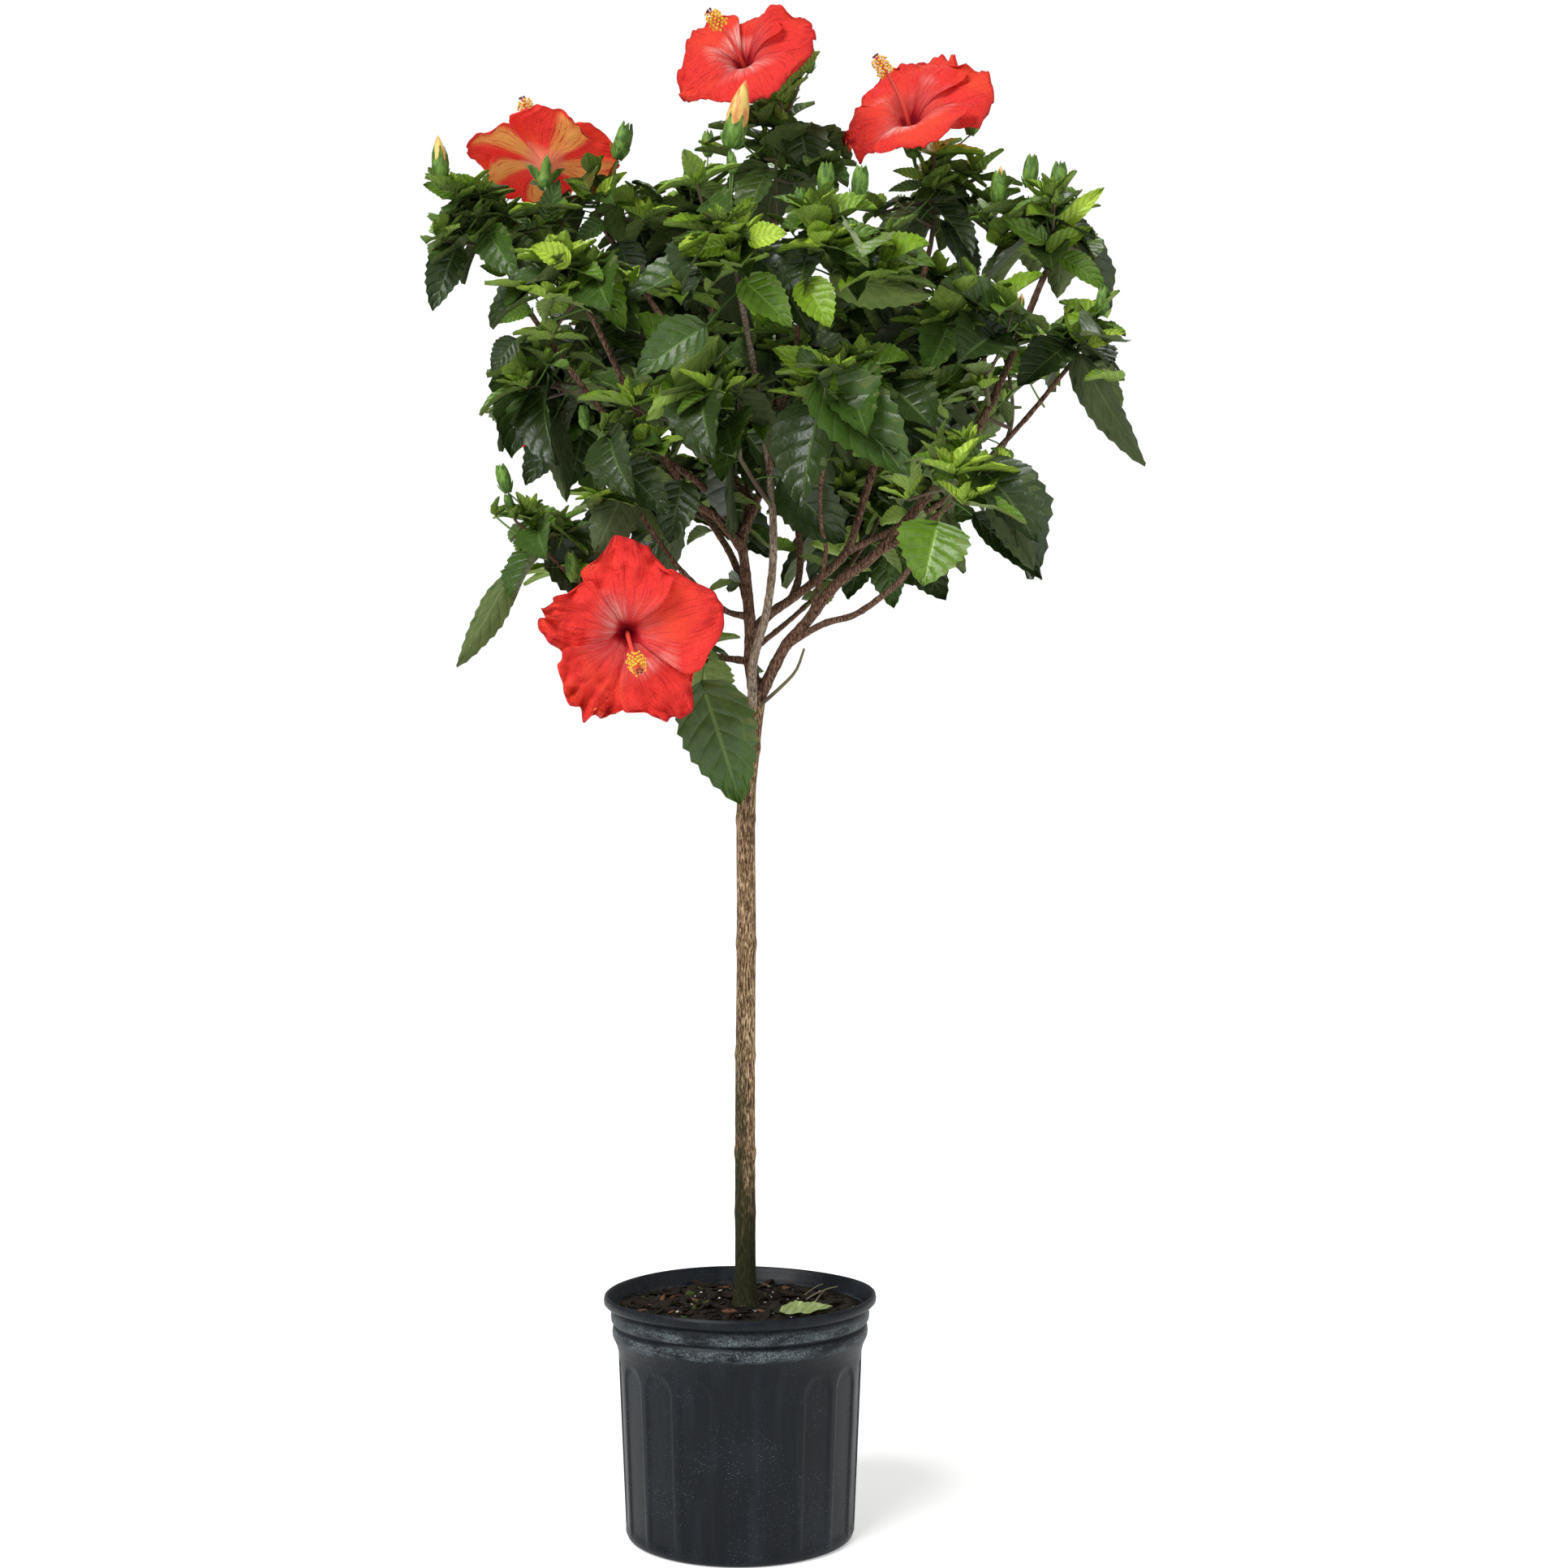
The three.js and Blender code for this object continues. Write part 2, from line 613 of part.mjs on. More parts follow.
// The leaves of one twig, in a spiral: broad and drooping at its foot, small and upright at its tip.
function leavesOf(twig, count, random) {
  const leaves = [];
  let turn = random() * Math.PI * 2;
  for (let i = 0; i < count; i++) {
    const share = mix(FIRST_LEAF, 1, i / (count - 1));
    const pitch = within(LEAF_PITCHES, share ** 2) + mix(-PITCH_VARIES, PITCH_VARIES, random());
    const length = LEAF_LENGTH * mix(1, YOUNG_LEAF_SHARE, share ** 2) * within(LENGTH_VARIES, random());
    const way = new THREE.Vector3(Math.cos(turn), Math.sin(turn), 0).multiplyScalar(Math.cos(pitch));
    way.z = Math.sin(pitch);
    const roll = mix(-ROLL_VARIES, ROLL_VARIES, random());
    leaves.push({ base: twig.getPointAt(share), way, length, roll });
    turn += GOLDEN_ANGLE;
  }
  return leaves;
}

// The corners of a leaf: its root sunk in the twig, its narrow foot, its shoulders, its tip and the middle
// of its rib. A broad leaf hangs on a stalk, so its root lies further off, and it turns its face forward.
function leafShape({ base, way, length, roll, root, faces = UP, width = length * LEAF_WIDTH_SHARE }, margin) {
  const side = new THREE.Vector3().crossVectors(way, faces);
  if (side.lengthSq() < 0.01) side.set(1, 0, 0);
  side.normalize().applyAxisAngle(way, roll);
  const normal = new THREE.Vector3().crossVectors(side, way).normalize();
  const at = (along, across, lift) =>
    base
      .clone()
      .addScaledVector(way, along * length)
      .addScaledVector(side, across)
      .addScaledVector(normal, lift);
  const half = width / 2 + margin;
  const droop = -length * 0.1;
  const tip = at(1 + margin / length, 0, droop);
  const foot = (sign) => at(0.12, sign * (LEAF_FOOT + margin), 0);
  const shoulder = (sign) => at(0.42, sign * half, length * 0.03);
  const outline = [root ?? at(-LEAF_FOOT / length, 0, 0), foot(1), shoulder(1), tip, shoulder(-1), foot(-1)];
  const rib = at(0.45, 0, -length * 0.02);
  return { outline, rib, normal, thickness: length * LEAF_THICKNESS_SHARE + 2 * margin };
}

function leafSolid(leaf, margin = 0) {
  const { outline, rib, normal, thickness } = leafShape(leaf, margin);
  const fan = outline.map((_, i) => [i, (i + 1) % outline.length, outline.length]);
  return sheet(outline, [rib], fan, normal, thickness);
}

// The leaf without its foot, where it may lie close to the next leaf of the spiral.
function outerSolid(leaf) {
  const base = leaf.base.clone().addScaledVector(leaf.way, leaf.length * LEAF_ROOT_SHARE);
  return leafSolid({ ...leaf, base, length: leaf.length * (1 - LEAF_ROOT_SHARE) });
}

// Whether a solid stands clear of every solid in a list.
function clearOf(solid, others) {
  const box = solid.boundingBox();
  return others.every((other) => {
    const around = other.boundingBox();
    const apart = [0, 1, 2].some((k) => box.min[k] > around.max[k] || box.max[k] < around.min[k]);
    return apart || solid.intersect(other).isEmpty();
  });
}

function budSolid(base, way) {
  const line = new THREE.LineCurve3(base, base.clone().addScaledVector(way, BUD_LENGTH));
  const swell = (share) => BUD_RADIUS * Math.sin(Math.PI * mix(0.12, 0.9, share));
  return limbAlong(line, swell, 4, 2);
}

// The five petals as one lobed sheet. place turns (share of the full radius, angle, lift) into a point.
function corolla(place, normal) {
  const step = (2 * Math.PI) / PETALS;
  const outline = [];
  const ribs = [];
  const triangles = [];
  const corners = PETAL_EDGE.length;
  const rim = PETALS * corners;
  for (let petal = 0; petal < PETALS; petal++) {
    const first = petal * corners;
    const rib = rim + petal;
    const nextRib = rim + ((petal + 1) % PETALS);
    const notch = (first + corners) % rim;
    for (const [radius, turn, lift] of PETAL_EDGE) outline.push(place(radius, (petal + turn) * step, lift));
    for (let i = 0; i < corners; i++) triangles.push([first + i, (first + i + 1) % rim, rib]);
    ribs.push(place(0.62, petal * step, 0.1));
    triangles.push([rib, notch, nextRib], [rib, nextRib, rim + PETALS]);
  }
  return sheet(outline, [...ribs, place(0, 0, -0.1)], triangles, normal, PETAL_THICKNESS);
}

// A bloom: stalk, calyx, five petals and the long column with its head of stamens.
function bloomSolid({ throat, faces, size, turn }, root) {
  const middle = seen(throat);
  const axis = new THREE.Vector3(...faces).normalize();
  const across = new THREE.Vector3().crossVectors(UP, axis).normalize();
  const up = new THREE.Vector3().crossVectors(axis, across);
  const reach = PETAL_LENGTH * size;
  const place = (radius, angle, lift) => {
    const way = angle + THREE.MathUtils.degToRad(turn);
    return middle
      .clone()
      .addScaledVector(across, Math.cos(way) * radius * reach)
      .addScaledVector(up, Math.sin(way) * radius * reach)
      .addScaledVector(axis, lift * reach);
  };
  const calyx = place(0, 0, -0.3);
  const stalkBend = calyx.clone().addScaledVector(axis, -0.5 * calyx.distanceTo(root));
  const stalkLine = new THREE.QuadraticBezierCurve3(root, stalkBend, calyx);
  const head = place(0, 0, COLUMN_LENGTH / PETAL_LENGTH).addScaledVector(UP, -COLUMN_SAG);
  const brushLine = new THREE.LineCurve3(middle.clone().lerp(head, BRUSH_START), head);
  return fuse([
    limbAlong(stalkLine, taper(STALK_RADIUS, STALK_RADIUS * 1.2), 4, 4),
    limbAlong(new THREE.LineCurve3(place(0, 0, -0.36), place(0, 0, 0.05)), taper(3, 9 * size), 5, 1),
    corolla(place, axis),
    limbAlong(new THREE.LineCurve3(middle, head), taper(3, 2), 4, 1),
    limbAlong(brushLine, (share) => 3 + 5.5 * Math.sin(Math.PI * share), 5, 2),
  ]);
}

// Stems come first, then the blooms, and then twigs and leaves where there is room.
const stemSolids = {};
for (const own of spaces) {
  const mass = MASSES[own.name];
  const foot = Math.min(radiusOf[mass.from](mass.at), STEM_RADIUS);
  const radiusAt = taper(foot, TWIG_TIP_RADIUS);
  stemSolids[own.name] = growLimb(own.name, stemOf(mass, own), radiusAt, STEM_SIDES, STEM_RINGS);
}

const bloomSolids = {};
for (const [name, bloom] of Object.entries(BLOOMS)) {
  const whole = bloomSolid(bloom, lines[bloom.from].getPointAt(bloom.at));
  bloomSolids[name] = mainBody(Object.values(grown).reduce((left, other) => left.subtract(other), whole));
}

const placed = [limbSolids, bloomSolids, stemSolids].flatMap((group) => Object.values(group));
const massSolids = {};
for (const own of spaces) {
  const mass = MASSES[own.name];
  const random = seeded(mass.seed);
  const stem = lines[own.name];
  const obstacles = placed.filter((solid) => solid !== stemSolids[own.name]);
  const pieces = [stemSolids[own.name]];
  const place = (made, spaceTaken) => {
    const fits = clearOf(spaceTaken, obstacles);
    if (fits) pieces.push(made);
    return fits;
  };

  for (const { base, tip, width } of mass.broad) {
    const from = seen(base);
    const way = seen(tip).sub(from);
    const nearest = BROAD_LEAF_SHARES.map((share) => stem.getPointAt(share)).reduce((best, point) =>
      point.distanceTo(from) < best.distanceTo(from) ? point : best,
    );
    const shape = { base: from, root: nearest, length: way.length(), way: way.normalize(), roll: 0, width };
    const leaf = { ...shape, faces: FORWARD };
    place(leafSolid(leaf), leafSolid(leaf, CLEARANCE));
  }

  const axes = [{ line: stem, count: STEM_LEAVES }];
  for (const line of twigsOf(mass, own, stem, random)) {
    const inside = [0.3, 0.6, 1].every((share) => inOwnSpace(own, line.getPointAt(share)));
    const made = limbAlong(line, taper(TWIG_RADIUS, TWIG_TIP_RADIUS), TWIG_SIDES, TWIG_RINGS);
    if (inside && place(made, made)) axes.push({ line, count: TWIG_LEAVES });
  }

  for (const { line, count } of axes) {
    for (const leaf of leavesOf(line, count, random)) {
      for (const size of LEAF_TRIES) {
        const shape = { ...leaf, length: leaf.length * size };
        const corners = leafShape(shape, CLEARANCE).outline.slice(1);
        if (!corners.every((corner) => inOwnSpace(own, corner))) continue;
        if (!clearOf(outerSolid(shape), pieces.slice(1))) continue;
        if (place(leafSolid(shape), leafSolid(shape, CLEARANCE))) break;
      }
    }
  }

  for (let i = 0; i < Math.min(mass.buds, axes.length); i++) {
    const line = axes[i].line;
    const bud = budSolid(line.getPointAt(0.96), line.getTangentAt(1).lerp(UP, 0.5).normalize());
    place(bud, bud);
  }

  massSolids[own.name] = fuse(pieces);
  placed.push(massSolids[own.name]);
}

// The plant in its pot

const plant = new THREE.Group();
for (const [name, solid] of Object.entries(limbSolids)) plant.add(node(name, solid, bark));
for (const [name, solid] of Object.entries(massSolids)) plant.add(node(name, solid, foliage));
for (const [name, solid] of Object.entries(bloomSolids)) plant.add(node(name, solid, petals));

const container = new THREE.Group();
container.add(node("pot", turned([...outerWall(), ...innerWall()]), potPlastic));
container.add(node("potting_soil", turned(soilProfile()), soilMix));

const hibiscus = new THREE.Group();
hibiscus.add(container, plant);

export default hibiscus;
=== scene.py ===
# %% [markdown]
# # A hibiscus standard tree in its nursery pot
# The plant is one bare trunk under a round crown of toothed, glossy leaves and large red blooms.
# It stands in a black nursery pot full of bark mix. The engineering model of it is loaded first and
# stays where it is. The pieces that are made here take the places of its parts.

# %% The frame
import math

import bpy
import numpy as np
from mathutils import Matrix, Vector, noise


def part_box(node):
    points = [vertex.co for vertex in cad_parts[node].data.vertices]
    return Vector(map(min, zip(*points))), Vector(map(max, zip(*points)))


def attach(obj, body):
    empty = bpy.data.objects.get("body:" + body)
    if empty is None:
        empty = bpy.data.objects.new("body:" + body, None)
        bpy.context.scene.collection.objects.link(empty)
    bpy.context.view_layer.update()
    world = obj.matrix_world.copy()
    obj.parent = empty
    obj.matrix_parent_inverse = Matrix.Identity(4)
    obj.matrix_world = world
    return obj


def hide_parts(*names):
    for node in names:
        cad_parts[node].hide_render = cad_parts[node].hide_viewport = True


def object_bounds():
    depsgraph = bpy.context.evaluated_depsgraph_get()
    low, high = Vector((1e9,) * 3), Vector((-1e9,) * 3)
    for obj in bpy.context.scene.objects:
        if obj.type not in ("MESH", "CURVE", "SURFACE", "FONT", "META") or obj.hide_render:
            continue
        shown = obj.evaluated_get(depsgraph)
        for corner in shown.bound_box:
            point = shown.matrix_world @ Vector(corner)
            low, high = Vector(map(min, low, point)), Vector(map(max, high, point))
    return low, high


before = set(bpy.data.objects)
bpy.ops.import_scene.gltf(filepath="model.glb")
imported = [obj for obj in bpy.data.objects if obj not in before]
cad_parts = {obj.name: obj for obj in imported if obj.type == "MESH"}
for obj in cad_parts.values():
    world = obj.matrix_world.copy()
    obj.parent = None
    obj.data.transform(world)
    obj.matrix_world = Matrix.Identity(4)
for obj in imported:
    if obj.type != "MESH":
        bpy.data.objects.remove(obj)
cad_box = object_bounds()
MM = 0.001
print("parts in the frame:", len(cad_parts))

# %% [markdown]
# ## Working by hand, from code
# An operator acts on whatever is selected, so each step first picks its own object, and edges are
# picked by where they are. Corners are moved all at once, as arrays, which is far quicker. These
# helpers do that, and coat a finished piece and hand it over.

# %% Helpers for picking and finishing


def pick(piece):
    bpy.ops.object.select_all(action="DESELECT")
    piece.select_set(True)
    bpy.context.view_layer.objects.active = piece


def named(name):
    """The object that the last operator made, under its name."""
    piece = bpy.context.object
    piece.name = name
    return piece


def put(name, data):
    """A new object in the scene with this mesh, curve, lamp or camera."""
    piece = bpy.data.objects.new(name, data)
    bpy.context.scene.collection.objects.link(piece)
    return piece


def edit(piece, mode="VERT"):
    pick(piece)
    bpy.ops.object.mode_set(mode="EDIT")
    bpy.ops.mesh.select_mode(type=mode)


def leave_edit():
    bpy.ops.object.mode_set(mode="OBJECT")


def select_edges(piece, test):
    """In edit mode, selects only the edges whose middle passes the test."""
    bpy.ops.mesh.select_all(action="DESELECT")
    leave_edit()
    corners = piece.data.vertices
    for edge in piece.data.edges:
        start, end = (corners[i].co for i in edge.vertices)
        edge.select = test((start + end) / 2)
    bpy.ops.object.mode_set(mode="EDIT")


def corners_of(piece):
    places = np.empty(len(piece.data.vertices) * 3)
    piece.data.vertices.foreach_get("co", places)
    return places.reshape(-1, 3)


def move_corners(piece, places):
    piece.data.vertices.foreach_set("co", np.asarray(places, float).ravel())
    piece.data.update()


def smooth(piece, angle=None):
    pick(piece)
    if angle is None:
        bpy.ops.object.shade_smooth()
    else:
        bpy.ops.object.shade_smooth_by_angle(angle=math.radians(angle))


def coat(piece, *finishes):
    for finish in finishes:
        piece.data.materials.append(finish.material)


def hand_over(piece, slot, *replaced):
    """The finished piece rides on the plant's one body and stands for these parts of the frame."""
    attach(piece, "root")
    if replaced:
        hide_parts(*replaced)
    triangles = sum(len(face.vertices) - 2 for face in piece.data.polygons)
    print(piece.name, triangles, "triangles")


# %% [markdown]
# ## Numbers that vary
# A plant is never regular, yet it has to come out the same each time. One short generator gives the
# same run of numbers for the same seed.

# %% Seeded numbers
SEED_STEP = 7919
SEED_START = 104729
GROWTH = 16807
LARGEST = 2147483647


def seeded(seed):
    """A function whose calls give numbers from 0 to 1."""
    state = seed * SEED_STEP + SEED_START

    def draw():
        nonlocal state
        state = (state * GROWTH) % LARGEST
        return state / LARGEST

    return draw


def mix(low, high, share):
    return low + (high - low) * share


def smoothstep(low, high, value):
    share = np.clip((value - low) / (high - low), 0, 1)
    return share * share * (3 - 2 * share)


# %% [markdown]
# ## Finishes as sums
# A finish is a small network of nodes. To keep it readable, a socket is wrapped in a class on which
# plus, minus and times add Math nodes, and every other node comes from one method, add. The methods
# after it are short names for what comes up again and again.

# %% Shader maths


class Value:
    """A socket of a finish. The operators add Math nodes to it."""

    def __init__(self, finish, socket):
        self.finish = finish
        self.socket = socket

    def __add__(self, other):
        return self.finish.maths("ADD", self, other)

    def __sub__(self, other):
        return self.finish.maths("SUBTRACT", self, other)

    def __rsub__(self, other):
        return self.finish.maths("SUBTRACT", other, self)

    def __mul__(self, other):
        return self.finish.maths("MULTIPLY", self, other)

    def __pow__(self, other):
        return self.finish.maths("POWER", self, other)

    def __abs__(self):
        return self.finish.maths("ABSOLUTE", self)

    __radd__ = __add__
    __rmul__ = __mul__

    def step(self, low, high):
        """0 below low and 1 above high, and turned round where low is the larger."""
        ends = {"Value": self, "From Min": min(low, high), "From Max": max(low, high)}
        ends.update({"To Min": float(low > high), "To Max": float(low < high)})
        return self.finish.add("ShaderNodeMapRange", {"interpolation_type": "SMOOTHSTEP"}, ends)


class Finish:
    """A material with the plain values of its surface, and methods that add nodes."""

    def __init__(self, name, color, roughness, specular=0.5, **plain):
        self.material = bpy.data.materials.new(name)
        self.material.use_nodes = True
        self.material.diffuse_color = (*color, 1)
        self.tree = self.material.node_tree
        self.shader = self.tree.nodes["Principled BSDF"]
        self.set("Base Color", (*color, 1))
        self.set("Roughness", roughness)
        self.set("Specular IOR Level", specular)
        for socket, value in plain.items():
            self.set(socket.replace("_", " ").title(), value)

    def plug(self, target, value):
        if isinstance(value, Value):
            self.tree.links.new(value.socket, target)
        else:
            target.default_value = value

    def set(self, socket, value):
        self.plug(self.shader.inputs[socket], value)

    def add(self, kind, settings, inputs, output=0):
        made = self.tree.nodes.new(kind)
        for name, value in settings.items():
            setattr(made, name, value)
        for name, value in inputs.items():
            self.plug(made.inputs[name], value)
        return Value(self, made.outputs[output])

    def maths(self, operation, *values):
        return self.add("ShaderNodeMath", {"operation": operation}, dict(enumerate(values)))

    def place(self, stretch=(1, 1, 1)):
        where = self.add("ShaderNodeTexCoord", {}, {}, "Object")
        return self.add("ShaderNodeMapping", {}, {"Vector": where, "Scale": stretch})

    def along_axis(self, axis):
        return self.add("ShaderNodeSeparateXYZ", {}, {0: self.place()}, axis)

    def chart(self, name, axis=None):
        where = self.add("ShaderNodeUVMap", {"uv_map": name}, {})
        return where if axis is None else self.add("ShaderNodeSeparateXYZ", {}, {0: where}, axis)

    def noise(self, where, scale, detail=2.0, roughness=0.5):
        inputs = {"Vector": where, "Scale": scale, "Detail": detail, "Roughness": roughness}
        return self.add("ShaderNodeTexNoise", {}, inputs)

    def cells(self, where, scale):
        return self.add("ShaderNodeTexVoronoi", {}, {"Vector": where, "Scale": scale})

    def blend(self, share, first, second):
        """The first colour where the share is 0 and the second where it is 1."""
        ends = [color if isinstance(color, Value) else (*color, 1) for color in (first, second)]
        return self.add("ShaderNodeMix", {"data_type": "RGBA"}, {0: share, 6: ends[0], 7: ends[1]}, 2)

    def relief(self, height, distance, strength=1.0):
        inputs = {"Height": height, "Distance": distance, "Strength": strength}
        self.set("Normal", self.add("ShaderNodeBump", {}, inputs))

    def mottle(self, stretch, scale, low, high, first, second):
        """Two colours that pass into each other in patches."""
        patches = self.noise(self.place(stretch), scale, 3, 0.6)
        self.set("Base Color", self.blend(patches.step(low, high), first, second))

    def grit(self, scale, depth, detail=3):
        """A fine rough grain all over."""
        self.relief(self.noise(self.place(), scale, detail, 0.6), depth)


# %% [markdown]
# ## The camera
# The plant is seen from about two metres away, with the lens level and 65 cm above the floor. A small
# upward shift of the picture keeps both the crown and the pot in it without tilting the trunk. The
# plain view transform shows colours as they are.

# %% The camera
PICTURE = 1932
PIXELS_PER_MM = 1.315
EYE = Vector((41, -2100, 650)) * MM
SENSOR = 36.0
PICTURE_MIDDLE_HEIGHT = 701 * MM
FAR_END = 50

camera_data = bpy.data.cameras.new("camera")
camera = put("camera", camera_data)
camera.location = EYE
camera.rotation_euler = (math.pi / 2, 0, 0)
camera_data.sensor_width = SENSOR
focal_pixels = PIXELS_PER_MM * -EYE.y / MM
camera_data.lens = SENSOR * focal_pixels / PICTURE
camera_data.shift_y = (PICTURE_MIDDLE_HEIGHT - EYE.z) / MM * PIXELS_PER_MM / PICTURE
camera_data.clip_end = FAR_END
bpy.context.scene.camera = camera
bpy.context.scene.view_settings.view_transform = "Standard"
print("lens", round(camera_data.lens, 1), "mm")

# %% [markdown]
# ## Floor and light
# A pale floor under a pale sky, with three wide soft lights: a key from the front left, a fill from
# the right and one from above and behind, which draws the edges of the leaves. They are as even as
# daylight, so that the pot is lit like the crown. The sky looks white, and lights the plant by about
# a third of that.

# %% Floor and light
FLOOR_SIZE = 24
FLOOR_GLOW = 0.32
SKY_LIGHT = 0.36

floor_finish = Finish(
    "floor_white", (0.8, 0.8, 0.79), 0.9, emission_color=(1, 1, 1, 1), emission_strength=FLOOR_GLOW
)
bpy.ops.mesh.primitive_plane_add(size=FLOOR_SIZE, location=(0, 0, 0))
floor = named("floor")
coat(floor, floor_finish)

sky = bpy.data.worlds.new("sky")
sky.use_nodes = True
background = sky.node_tree.nodes["Background"]
background.inputs["Color"].default_value = (1, 1, 1, 1)
ray = sky.node_tree.nodes.new("ShaderNodeLightPath")
sky_level = sky.node_tree.nodes.new("ShaderNodeMath")
sky_level.operation = "MULTIPLY_ADD"
sky_level.inputs[1].default_value = 1 - SKY_LIGHT
sky_level.inputs[2].default_value = SKY_LIGHT
sky.node_tree.links.new(ray.outputs["Is Camera Ray"], sky_level.inputs[0])
sky.node_tree.links.new(sky_level.outputs[0], background.inputs["Strength"])
bpy.context.scene.world = sky


def soft_light(name, towards, spread, strength):
    """An even light that comes from a direction, as wide as this angle."""
    data = bpy.data.lights.new(name, "SUN")
    data.angle = math.radians(spread)
    data.energy = strength
    lamp = put(name, data)
    lamp.location = Vector(towards) * 2
    lamp.rotation_euler = Vector(towards).to_track_quat("Z", "Y").to_euler()


soft_light("key", (-0.55, -0.75, 0.85), 32, 3.1)
soft_light("fill", (0.9, -0.5, 0.3), 50, 0.6)
soft_light("rim", (0.35, 0.8, 0.9), 40, 1.0)

# %% [markdown]
# ## The pot
# A nursery pot is blown or moulded in one thin wall: a rolled lip, two bands below it, and tall
# shallow panels with round tops. The wall is drawn as a profile and spun, which keeps it closed, and
# the panels are then pressed into the spun wall.

# %% The pot's profile
POT_PANELS = 18
COLUMNS_PER_PANEL = 22
WALL_ROW = 3.2 * MM
INNER_ROW = 30 * MM
WELD = 0.02 * MM

# (radius, height) in millimetres, from the middle of the base up the wall and over the lip
POT_OUTSIDE = [
    (0, 0), (101.5, 0), (105, 1.6), (106.8, 5.5), (113.3, 158), (113.7, 172), (115.4, 179), (117.6, 184),
    (118.9, 187), (119.4, 191), (118.8, 195.6), (117.0, 198), (118.4, 200), (120.2, 202), (120.7, 206),
    (120.2, 211), (119.2, 213.4), (121.0, 215), (125.2, 216.6), (126.8, 218.4), (127, 221.5),
    (126.4, 224.6), (124.9, 226), (123.6, 225.2),
]
POT_INSIDE = [
    (122.8, 221), (119.6, 216.4), (118.1, 211), (111.0, 158), (104.4, 6.4), (101.2, 3.4), (0, 3.4),
]


def fine_profile(points, longest):
    """The profile in metres, with long stretches cut into rows no longer than this."""
    fine = [points[0]]
    for start, end in zip(points, points[1:]):
        rows = max(1, math.ceil(math.dist(start, end) * MM / longest))
        for i in range(1, rows + 1):
            fine.append((mix(start[0], end[0], i / rows), mix(start[1], end[1], i / rows)))
    return [(radius * MM, height * MM) for radius, height in fine]


def spun(name, profile, columns):
    """A profile of (radius, height) that starts and ends on the axis, spun into a closed shell."""
    bpy.ops.mesh.primitive_plane_add(size=MM)
    piece = named(name)
    edit(piece)
    bpy.ops.mesh.merge(type="CENTER")
    bpy.ops.transform.translate(value=(profile[0][0], 0, profile[0][1]))
    for start, end in zip(profile, profile[1:]):
        step = (end[0] - start[0], 0, end[1] - start[1])
        bpy.ops.mesh.extrude_vertices_move(TRANSFORM_OT_translate={"value": step})
    bpy.ops.mesh.select_all(action="SELECT")
    bpy.ops.mesh.spin(steps=columns, angle=math.tau, center=(0, 0, 0), axis=(0, 0, 1))
    bpy.ops.mesh.select_all(action="SELECT")
    bpy.ops.mesh.remove_doubles(threshold=WELD)
    bpy.ops.mesh.normals_make_consistent(inside=False)
    leave_edit()
    return piece


pot_profile = fine_profile(POT_OUTSIDE, WALL_ROW) + fine_profile(POT_INSIDE, INNER_ROW)
pot = spun("nursery_pot", pot_profile, POT_PANELS * COLUMNS_PER_PANEL)

# %% [markdown]
# The panels are arches side by side. Each corner of the wall is pushed in by how far it lies inside
# its arch, and the rim gets the slight warp that a soft pot takes on.

# %% Pressing the panels in
PANEL_TURN = math.radians(10)
PANEL_HALF_WIDTH = 16 * MM
PANEL_FOOT = (7 * MM, 13 * MM)
PANEL_TOP = 167 * MM
PANEL_DEPTH = 1.4 * MM
PANEL_BOW = 0.7 * MM
PANEL_EDGE = 1.9 * MM
OUTER_WALL = 105.5 * MM
WARPED_RADIUS = 100 * MM
WARPED_HEIGHTS = (170 * MM, 226 * MM)
WARP_OUT = 0.6 * MM
WARP_UP = 0.7 * MM

wall = corners_of(pot)
turn = np.arctan2(wall[:, 1], wall[:, 0])
radius = np.hypot(wall[:, 0], wall[:, 1])
height = wall[:, 2]
panel_step = math.tau / POT_PANELS
across = ((turn - PANEL_TURN + panel_step / 2) % panel_step - panel_step / 2) * radius
spring = PANEL_TOP - PANEL_HALF_WIDTH
from_middle = np.where(height > spring, np.hypot(across, height - spring), np.abs(across))
inside = smoothstep(0, PANEL_EDGE, PANEL_HALF_WIDTH - from_middle)
inside *= smoothstep(*PANEL_FOOT, height) * (radius > OUTER_WALL)
bow = 1 - np.clip(np.abs(across) / PANEL_HALF_WIDTH, 0, 1) ** 2
pressed = radius - inside * (PANEL_DEPTH + PANEL_BOW * bow)
warp = smoothstep(*WARPED_HEIGHTS, height) * (radius > WARPED_RADIUS)
pressed += warp * WARP_OUT * np.sin(2 * turn + 0.6)
lifted = height + warp * WARP_UP * (np.sin(3 * turn + 2.2) - 1)
move_corners(pot, np.stack([pressed * np.cos(turn), pressed * np.sin(turn), lifted], axis=1))
smooth(pot, 50)

# %% [markdown]
# The plastic is charcoal with a cold blue cast. It is specked with dust, brushed paler up and down
# the wall, and chalky where the bands have rubbed against the next pot in the stack.

# %% The pot's plastic
# (from, to) up the wall, in metres
BANDS_START = (0.183, 0.189)
BANDS_END = (0.214, 0.206)
GROOVE_LEVEL = 0.198
GROOVE_EDGE = (0.0012, 0.004)

